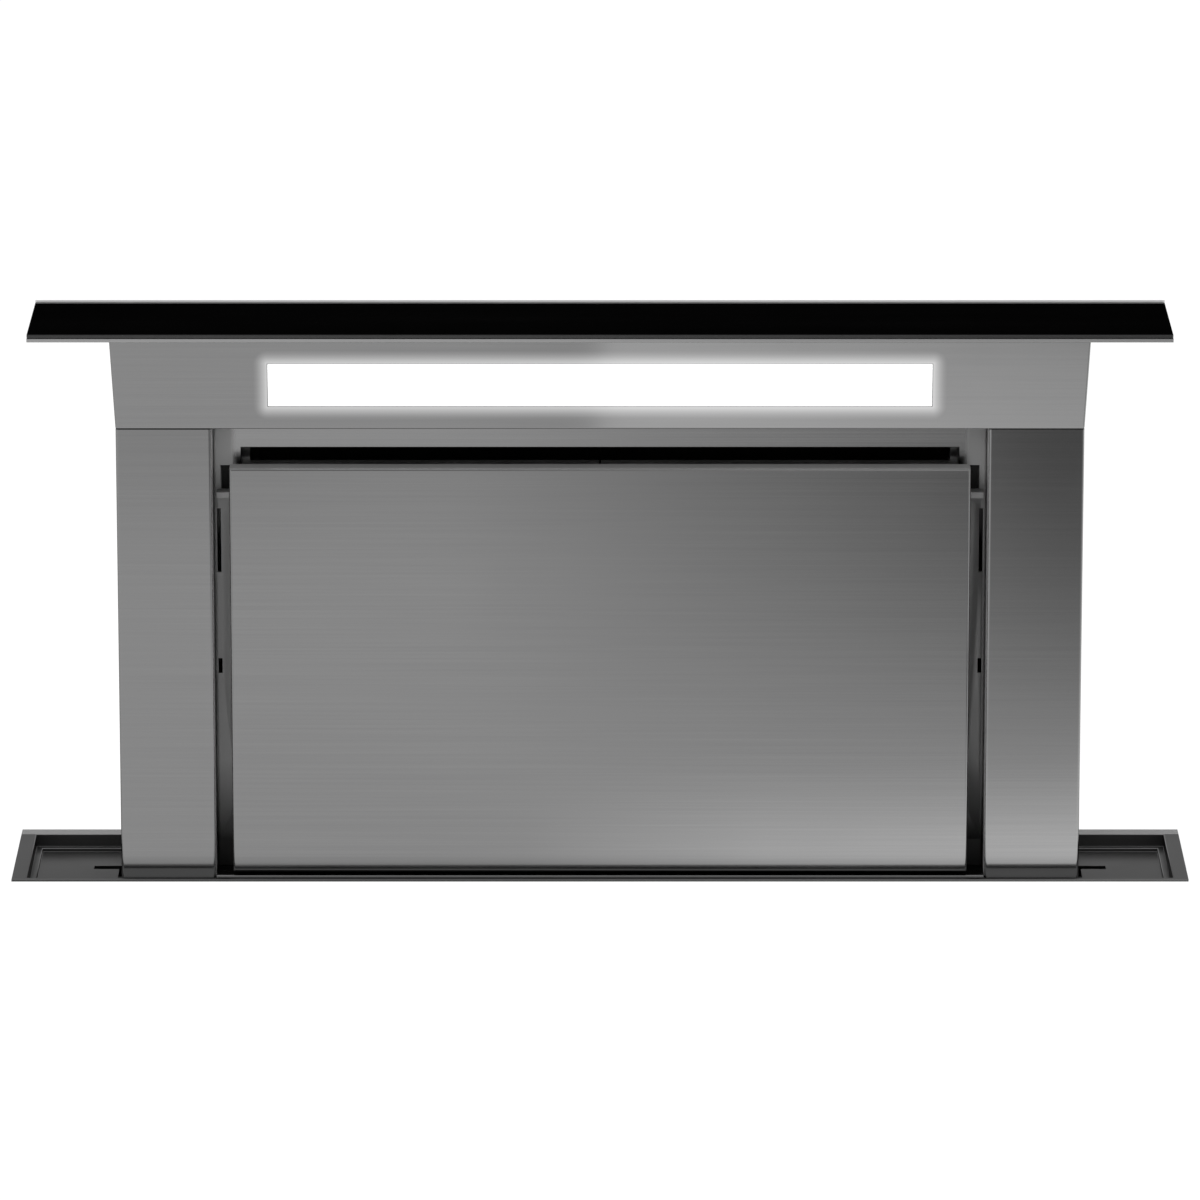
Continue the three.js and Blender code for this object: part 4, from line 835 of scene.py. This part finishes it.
@dataclass
class ColumnSkin:
    """The steel that shows above the worktop: pillars, head, recess and panel."""

    shop: Workshop
    edges: SheetEdges = field(default_factory=SheetEdges)
    lens_half_length: float = 0.255
    lens_half_height: float = 0.0173
    lens_centre_z: float = 0.3923
    pillar_inner: float = 0.2992
    gap_middle: float = 0.283
    panel_top: float = 0.3248
    lip_front: float = 0.1202
    lip_rear: float = 0.1216
    gap_foot: Ramp = Ramp(0.022, 0.085, 0.06, 1.0)
    shade_block_low: Triple = (0.2805, 0.0471, 0.3005)
    shade_block_high: Triple = (0.2925, 0.0495, 0.3345)
    shade_block_rounding: float = 0.0005
    lens_rounding: float = 0.0006
    back_screws: int = 5
    screw_inset: float = 0.009

    def build(self) -> None:
        """Makes every sheet piece of the column."""
        # Painted light on the pillars' inner faces, which are painted a lighter plain grey.
        inner = PaintedLight(Axis.X, 0.0, self.pillar_inner, level=0.6)
        pillar = BrushedSteel("pillar_steel", painted_light=inner).build()
        for node in ("left_pillar", "right_pillar"):
            self.shop.renew(node, self.edges, material=pillar)
        self.shop.renew("column_back_panel", self.edges)
        # Painted light on the outer strips of the recess plate and hangers, past the gap's middle,
        # and painted shade towards the foot of the gap.
        sides = PaintedLight(Axis.X, self.gap_middle, level=0.36, metallic=0.35, soft=0.003)
        foot = DeepShade(self.gap_foot)
        deep = BrushedSteel("gap_steel", level=0.37, roughness=0.2, shade=foot, painted_light=sides).build()
        fine = SheetEdges(bend=0.0007, inner_bend=0.0003)
        for node in ("recess_frame", "left_panel_hanger", "right_panel_hanger"):
            self.shop.renew(node, fine, material=deep)
        self.shop.renew("column_sill", fine)
        # Painted light on the panel's top face, above the panel top.
        face = BrushedSteel("panel_steel", painted_light=PaintedLight(Axis.Z, self.panel_top)).build()
        self.shop.renew("suction_panel", SheetEdges(bend=0.0012, inner_bend=0.0006), material=face)
        # Painted highlight along the carrier's rear lip, between the lip's front and rear.
        lip = PaintedLight(Axis.Y, self.lip_front, self.lip_rear, level=0.8)
        carrier = BrushedSteel("carrier_satin_painted_lip", level=0.5, roughness=0.42, painted_light=lip).build()
        self.shop.renew("glass_carrier", SheetEdges(bend=0.0006, cut=0.0003), material=carrier)
        self.notch_shade_blocks()
        self.head()
        self.lens()
        self.rear_screws()

    def head(self) -> None:
        """Makes the leaning head, whose steel has a painted glow beside the lamp."""
        spill = LampSpill(self.lens_half_length, self.lens_half_height, self.lens_centre_z)
        steel = BrushedSteel("head_steel", spill=spill).build()
        self.shop.renew("head_shell", SheetEdges(bend=0.0014), material=steel)

    def lens(self) -> None:
        """Makes the opal lens with softened edges."""
        mesh = self.shop.copy_of("lamp_lens")
        SheetEdges.round_off(mesh, SheetEdges.sharp(mesh), self.lens_rounding, 3)
        self.shop.deliver("lamp_lens_cover", mesh, Slot.OPAL_LENS, Body.COLUMN, ("lamp_lens",))

    def notch_shade_blocks(self) -> None:
        """Makes two near-black blocks behind the two corner notches of the recess plate, as painted
        shade there.
        """
        # Painted shade: a near-black block stands for the shade in each notch.
        shade_black = Moulded("notch_shade_black", 0.012, roughness=0.9, texture=1800.0).build()
        low, high = Vector(self.shade_block_low), Vector(self.shade_block_high)
        mesh = bmesh.new()
        for side in (-1.0, 1.0):
            centre = (low + high) / 2
            centre.x *= side
            add_block(mesh, centre, high - low)
        SheetEdges.round_off(mesh, list(mesh.edges), self.shade_block_rounding, 2)
        self.shop.deliver("notch_shade_blocks", mesh, Slot.BLACK_PLASTIC, Body.COLUMN, material=shade_black)

    def rear_screws(self) -> None:
        """Screws the back panel to the pillars along both of its upright edges."""
        low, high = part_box("column_back_panel")
        row = ScrewRow(self.shop, "back_panel_screws", Body.COLUMN)
        for x in (low[0] + self.screw_inset, high[0] - self.screw_inset):
            start = (x, high[1], low[2] + self.screw_inset)
            end = (x, high[1], high[2] - self.screw_inset)
            row.line(start, end, self.back_screws, (0.0, 1.0, 0.0))
        row.deliver()


@dataclass
class GlassTop:
    """The black glass plate with ground corners and polished edges."""

    shop: Workshop
    corner: float = 0.002
    polish: float = 0.0005

    def build(self) -> None:
        """Makes the plate inside the CAD plate's box."""
        low, high = (Vector(corner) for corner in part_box("glass_top"))
        mesh = bmesh.new()
        add_block(mesh, (low + high) / 2, high - low)
        upright = [edge for edge in mesh.edges if self.rise(edge) > self.polish]
        SheetEdges.round_off(mesh, upright, self.corner, 4)
        SheetEdges.round_off(mesh, SheetEdges.sharp(mesh), self.polish, 3)
        self.shop.deliver("glass_plate", mesh, Slot.BLACK_GLASS, Body.COLUMN, ("glass_top",))

    @staticmethod
    def rise(edge: bmesh.types.BMEdge) -> float:
        """Returns the height between an edge's two ends."""
        return abs(edge.verts[0].co.z - edge.verts[1].co.z)


@dataclass
class WorktopTray:
    """The pressed trim tray in the worktop."""

    shop: Workshop
    rear_flange: float = 0.1238

    def build(self) -> None:
        """Makes the tray with eased edges."""
        edges = SheetEdges(bend=0.0007, inner_bend=0.0004, cut=0.0003, narrow=0.0022)
        # Painted light on the rear flange, and painted shade on the upright walls.
        painted_flange_light, walls = PaintedLight(Axis.Y, self.rear_flange, level=0.35), WallShade()
        steel = BrushedSteel("tray_steel", level=0.37, roughness=0.34, shade=walls, painted_light=painted_flange_light)
        self.shop.renew("trim_tray", edges, "pressing", steel.build())


@dataclass
class LampInside:
    """The diodes on the lamp's board."""

    shop: Workshop
    count: int = 34
    pitch: float = 0.0146
    length: float = 0.0035
    width: float = 0.0028
    height: float = 0.0008
    chamfer: float = 0.0002
    lean: float = math.atan2(11.5, 71.0)
    centre: Triple = (0.0, 0.01266, 0.39226)
    board_front: float = 0.0126

    def build(self) -> None:
        """Makes the row of diodes, each a small block with a chamfered rim."""
        mesh = bmesh.new()
        tilt = Matrix.Translation(self.centre) @ Matrix.Rotation(self.lean, 4, "X")
        for step in range(self.count):
            x = (step - (self.count - 1) / 2) * self.pitch
            centre = Vector((x, self.board_front - self.height / 2, 0.0))
            made = add_block(mesh, centre, Vector((self.length, self.height, self.width)), tilt)
            edges = {edge for corner in made for edge in corner.link_edges}
            SheetEdges.round_off(mesh, list(edges), self.chamfer, 1)
        self.shop.deliver("lamp_diodes", mesh, Slot.OPAL_LENS, Body.COLUMN)


@dataclass
class HousingSkin:
    """The galvanised box under the worktop with its brackets, rails and screws."""

    shop: Workshop
    inset: float = 0.009
    below_top: float = 0.03
    above_foot: float = 0.012
    side_foot: float = 0.02
    side_count: int = 6
    foot_count: int = 8

    def build(self) -> None:
        """Renews the sheet pieces and adds the screws that hold them together."""
        edges = SheetEdges(bend=0.0011, cut=0.00025, segments=2)
        walls = ("housing_front_panel", "housing_rear_panel", "left_housing_panel")
        others = ("right_housing_panel", "housing_bottom_pan", "left_floor_bracket")
        for node in (*walls, *others, "right_floor_bracket", "left_guide_rail", "right_guide_rail"):
            self.shop.renew(node, edges)
        self.rear_screws()
        self.side_screws()

    def rear_screws(self) -> None:
        """Screws the rear panel down both sides and along its foot."""
        low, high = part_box("housing_rear_panel")
        top, foot = high[2] - self.below_top, low[2] + self.above_foot
        row = ScrewRow(self.shop, "rear_panel_screws", Body.HOUSING)
        for x in (low[0] + self.inset, high[0] - self.inset):
            row.line((x, high[1], foot), (x, high[1], top), self.side_count, (0.0, 1.0, 0.0))
        start = (low[0] + 5 * self.inset, high[1], foot)
        end = (high[0] - 5 * self.inset, high[1], foot)
        row.line(start, end, self.foot_count, (0.0, 1.0, 0.0)).deliver()

    def side_screws(self) -> None:
        """Screws both side panels along their upright edges."""
        row = ScrewRow(self.shop, "side_panel_screws", Body.HOUSING)
        for node, outward in (("left_housing_panel", -1.0), ("right_housing_panel", 1.0)):
            low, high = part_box(node)
            x = low[0] if outward < 0 else high[0]
            for y in (low[1] + 2 * self.inset, high[1] - 2 * self.inset):
                start, end = (x, y, low[2] + self.side_foot), (x, y, high[2] - self.below_top)
                row.line(start, end, self.side_count, (outward, 0.0, 0.0))
        row.deliver()


@dataclass
class BlowerSkin:
    """Blower, outlet and control box, with round parts made smooth."""

    shop: Workshop
    corner: float = 0.011

    def build(self) -> None:
        """Renews the blower's pieces and adds the screws on the cover and the lid."""
        for node in ("blower_case", "blower_cover", "control_box", "control_box_lid"):
            self.shop.renew(node, THIN_SHEET)
        housed = ("blower_scroll", "inlet_ring", "outlet_collar", "motor_mount", "fan_motor")
        fitted = ("left_blower_foot", "right_blower_foot", "cable_gland", "damper_pin")
        moving = ("front_damper_flap", "rear_damper_flap", "motor_shaft", "impeller")
        for node in housed + fitted + moving:
            self.shop.renew(node, suffix="smooth")
        self.front_screws("blower_cover", "blower_cover_screws")
        self.front_screws("control_box_lid", "control_lid_screws")

    def front_screws(self, node: str, name: str) -> None:
        """Puts a screw in each corner of a piece's front face.

        Args:
            node: The CAD node with the face.
            name: The name of the new piece.
        """
        low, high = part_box(node)
        row = ScrewRow(self.shop, name, Body.HOUSING)
        for z in (low[2] + self.corner, high[2] - self.corner):
            start = (low[0] + self.corner, low[1], z)
            end = (high[0] - self.corner, low[1], z)
            row.line(start, end, 2, (0.0, -1.0, 0.0))
        row.deliver()


@dataclass
class LiftSkin:
    """The lift's brackets, gearbox, motor and shaft, with round parts made smooth."""

    shop: Workshop

    def build(self) -> None:
        """Renews the lift's pieces."""
        for node in ("left_shoe_bracket", "right_shoe_bracket", "column_base_frame"):
            self.shop.renew(node, THIN_SHEET)
        cast = SheetEdges(bend=0.0012, cut=0.0004, segments=2)
        shoes = ("left_upper_shoe", "right_upper_shoe", "left_lower_shoe", "right_lower_shoe")
        for node in ("lift_gearbox", *shoes):
            self.shop.renew(node, cast, suffix="smooth")
        for node in ("lift_motor", "cross_shaft", "left_shaft_bush", "right_shaft_bush"):
            self.shop.renew(node, suffix="smooth")


# ---------------- studio


@dataclass(frozen=True)
class FloorPaint:
    """The floor's white, and the tones that mirrored rays meet in its place.

    The left half dims slowly with the distance in front of the vent, and the right half faster. A
    pool of light lies by the column's right foot, the floor beside the tray is sheltered, and the
    floor far away is even.
    """

    name: str = "pale_floor"
    left: Ramp = Ramp(-0.9, -1.6, 0.8, 0.62)
    right_level: float = 1.1
    right_fall: float = 1.38
    right_share: Ramp = Ramp(-0.13, 0.42)
    pool_ahead: Ramp = Ramp(-0.29, -0.09, 0.0, 0.24)
    pool_aside: Ramp = Ramp(-0.06, 0.13)
    tray_middle: float = 0.0675
    tray_half: float = 0.07
    shelter: Ramp = Ramp(0.0, 0.035, 0.68, 1.0)
    distant: Ramp = Ramp(-1.9, -2.8)
    distant_level: float = 0.8
    shining: float = 0.95
    shadowed: float = 0.12
    matte: float = 0.8

    def build(self) -> Material:
        """Returns the material: white to the camera, toned to mirrors and matte to all else."""
        material, graph = fresh(self.name)
        path = graph.add("LightPath").outputs
        seen = graph.math("MAXIMUM", path["Is Camera Ray"], path["Is Transmission Ray"])
        tones = {"Color": WHITE, "Strength": self.mirrored(graph)}
        mirrored = graph.add("Emission", tones).outputs[0]
        white = graph.add("Emission", {"Color": WHITE, "Strength": self.shining}).outputs[0]
        soft = graph.add("BsdfDiffuse", {"Color": grey(self.shadowed)}).outputs[0]
        camera = graph.add("AddShader", {0: white, 1: soft}).outputs[0]
        matte = graph.add("BsdfDiffuse", {"Color": grey(self.matte)}).outputs[0]
        other = graph.add("MixShader", {0: path["Is Glossy Ray"], 1: matte, 2: mirrored}).outputs[0]
        mixed = graph.add("MixShader", {0: seen, 1: other, 2: camera}).outputs[0]
        graph.add("OutputMaterial", {"Surface": mixed})
        return material

    def mirrored(self, graph: Graph) -> Socket:
        """Returns how bright the floor is to mirrored rays."""
        x, y, _ = graph.axes()
        left = graph.spread(y, self.left)
        fall = graph.math("MULTIPLY", graph.math("MINIMUM", y, 0.0), self.right_fall)
        right = graph.math("MULTIPLY", graph.math("EXPONENT", fall), self.right_level)
        rise = graph.math("SUBTRACT", right, left)
        over = graph.math("MULTIPLY", rise, graph.spread(x, self.right_share))
        ahead, aside = graph.spread(y, self.pool_ahead), graph.spread(x, self.pool_aside)
        pool = graph.math("MULTIPLY", ahead, aside)
        off_middle = graph.math("ABSOLUTE", graph.math("SUBTRACT", y, self.tray_middle))
        shelter = graph.spread(graph.math("SUBTRACT", off_middle, self.tray_half), self.shelter)
        near = graph.math("MULTIPLY", graph.total("ADD", left, over, pool), shelter)
        sockets = {0: graph.spread(y, self.distant), 2: near, 3: self.distant_level}
        return graph.add("Mix", sockets).outputs[0]


@dataclass(frozen=True)
class Surroundings:
    """A white world that glass and metal see dark in a band above the horizon."""

    sky: Ramp = Ramp(0.236, 0.4, 0.0, 0.75)
    horizon: Ramp = Ramp(0.09, 0.16, 0.75, 0.0)
    in_front: Ramp = Ramp(-0.93, -0.82, 1.0, 0.0)
    front_loss: float = 0.65
    mirrored: float = 0.75
    diffuse: float = 0.55

    def build(self) -> None:
        """Sets the world."""
        world = bpy.data.worlds.new("studio_world")
        bpy.context.scene.world = world
        world.use_nodes = True
        graph = Graph(world.node_tree)
        path = graph.add("LightPath").outputs
        seen = graph.math("MAXIMUM", path["Is Camera Ray"], path["Is Transmission Ray"])
        _, y, z = graph.axes("Generated")
        loss = graph.math("MULTIPLY", graph.spread(y, self.in_front), self.front_loss)
        above = graph.math("MULTIPLY", graph.spread(z, self.sky), graph.math("SUBTRACT", 1.0, loss))
        bright = graph.math("MAXIMUM", above, graph.spread(z, self.horizon))
        glossy = graph.total("MULTIPLY", path["Is Glossy Ray"], bright, self.mirrored)
        unmirrored = graph.math("SUBTRACT", 1.0, path["Is Glossy Ray"])
        plain = graph.math("MULTIPLY", unmirrored, self.diffuse)
        sockets = {0: seen, 2: graph.math("ADD", glossy, plain), 3: 1.0}
        strength = graph.add("Mix", sockets).outputs[0]
        shader = graph.add("Background", {"Color": WHITE, "Strength": strength})
        graph.add("OutputWorld", {"Surface": shader.outputs[0]})


@dataclass(frozen=True)
class PaleFloor:
    """The white worktop plane, with a hole for the tray and dark cut edges round it."""

    reach: float = 8.0
    hole_half_width: float = 0.4515
    hole_depth: float = 0.1315
    below_rim: float = 0.0003
    thickness: float = 0.038
    upright_below: float = 0.5

    def build(self) -> None:
        """Makes the plane from a grid of nine faces, whose middle one is the hole."""
        mesh = bmesh.new()
        bmesh.ops.create_grid(mesh, x_segments=3, y_segments=3, size=1.0)
        columns = (-self.reach, -self.hole_half_width, self.hole_half_width, self.reach)
        rows = (-self.reach, 0.0, self.hole_depth, self.reach)
        for corner in mesh.verts:
            column, row = (round((value + 1.0) * 1.5) for value in corner.co.xy)
            corner.co = (columns[column], rows[row], -self.below_rim)
        middle = min(mesh.faces, key=lambda face: face.calc_center_median().length)
        rim = list(middle.edges)
        bmesh.ops.delete(mesh, geom=[middle], context="FACES_ONLY")
        walls = bmesh.ops.extrude_edge_only(mesh, edges=rim)["geom"]
        lower = [corner for corner in walls if isinstance(corner, bmesh.types.BMVert)]
        bmesh.ops.translate(mesh, verts=lower, vec=(0.0, 0.0, -self.thickness))
        for face in mesh.faces:
            face.material_index = int(abs(face.normal.z) < self.upright_below)
        data = bpy.data.meshes.new("pale_floor")
        mesh.to_mesh(data)
        mesh.free()
        floor = bpy.data.objects.new("pale_floor", data)
        bpy.context.scene.collection.objects.link(floor)
        cut_edge = Moulded("cut_edge", 0.03, (1.0, 0.94, 0.86), roughness=0.7, texture=1500.0)
        for finish in (FloorPaint(), cut_edge):
            data.materials.append(finish.build())


@dataclass(frozen=True)
class SoftLamp:
    """An area lamp that no camera sees, with its long side level.

    Without a height it is square, and without a spread it shines all round its front. Steel and
    glass show it only if it is mirrored.
    """

    name: str
    place: Triple
    target: Triple
    width: float
    watts: float
    height: float | None = None
    spread: float | None = None
    mirrored: bool = False

    def hang(self) -> None:
        """Makes the lamp and points it at its target."""
        data = bpy.data.lights.new(self.name, "AREA")
        data.size = self.width
        data.energy = self.watts
        if self.height:
            data.shape = "RECTANGLE"
            data.size_y = self.height
        if self.spread:
            data.spread = self.spread
        lamp = bpy.data.objects.new(self.name, data)
        bpy.context.scene.collection.objects.link(lamp)
        lamp.location = self.place
        ahead = Vector(self.target) - lamp.location
        lamp.rotation_euler = ahead.to_track_quat("-Z", "Y").to_euler()
        lamp.visible_camera = False
        lamp.visible_glossy = self.mirrored


@dataclass(frozen=True)
class Studio:
    """Camera, floor, lamps and surroundings."""

    aim: Triple = (0.0, 0.0675, 0.2077)
    distance: float = 7.0
    elevation: float = math.radians(14.66)
    focal: float = 269.9
    sensor: float = 36.0
    clip_end: float = 100.0

    def build(self) -> None:
        """Sets up the whole studio."""
        self.camera()
        PaleFloor().build()
        Surroundings().build()
        for lamp in self.lamps():
            lamp.hang()
        bpy.context.scene.view_settings.view_transform = "Standard"

    def camera(self) -> None:
        """Places the camera at the photograph's viewing angle."""
        data = bpy.data.cameras.new("studio_camera")
        data.sensor_width = self.sensor
        data.lens = self.focal
        data.clip_end = self.clip_end
        camera = bpy.data.objects.new("studio_camera", data)
        bpy.context.scene.collection.objects.link(camera)
        back = Vector((0.0, -math.cos(self.elevation), math.sin(self.elevation)))
        camera.location = Vector(self.aim) + back * self.distance
        camera.rotation_euler = (math.pi / 2 - self.elevation, 0.0, 0.0)
        bpy.context.scene.camera = camera

    def lamps(self) -> tuple[SoftLamp, ...]:
        """Returns three large lamps, a low strip for the head's right half and one in the tray."""
        return (
            SoftLamp("key", (-2.2, -3.0, 2.8), self.aim, width=1.8, watts=55.0),
            SoftLamp("fill", (2.6, -2.4, 1.6), self.aim, width=1.6, watts=22.0),
            SoftLamp("top", (0.0, 0.6, 3.0), self.aim, width=2.2, watts=30.0),
            SoftLamp(
                "low_strip",
                place=(0.31, -0.42, 0.104),
                target=(0.3, 0.012, 0.388),
                width=0.62,
                watts=0.0024,
                height=0.14,
                spread=math.radians(26),
                mirrored=True,
            ),
            SoftLamp(
                "tray_bounce",
                place=(0.0, 0.0031, -0.0035),
                target=(0.0, 1.0, -0.0035),
                width=0.88,
                watts=0.004,
                height=0.0075,
                mirrored=True,
            ),
        )


# ---------------- the whole vent


def dress_nodes(nodes: dict, record: dict, palette: Palette) -> None:
    """Gives every CAD node the finish of its slot.

    Args:
        nodes: Node name to object.
        record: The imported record.
        palette: The finishes.
    """
    for entry in record["subparts"]:
        data = nodes[entry["node"]].data
        data.materials.clear()
        data.materials.append(palette.of(Slot(entry["material_slot"])))


def main() -> None:
    """Loads the frame, builds each sub-assembly in turn and logs each one as it is done."""
    logging.basicConfig(level=logging.INFO, format="%(name)s %(message)s")
    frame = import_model()
    Studio().build()
    palette = Palette()
    record = frame["record"]
    dress_nodes(frame["nodes"], record, palette)
    slot_of = {entry["node"]: Slot(entry["material_slot"]) for entry in record["subparts"]}
    groups = record["behaviour"]["bodies"]
    body_of = {node: Body(body) for body, members in groups.items() for node in members}
    shop = Workshop(frame["nodes"], palette, slot_of, body_of)
    assemblies = (WorktopTray, ColumnSkin, GlassTop, LampInside, HousingSkin, BlowerSkin, LiftSkin)
    for assembly in assemblies:
        assembly(shop).build()
        LOG.info("%s is done", assembly.__name__)


if __name__ == "__main__":
    main()
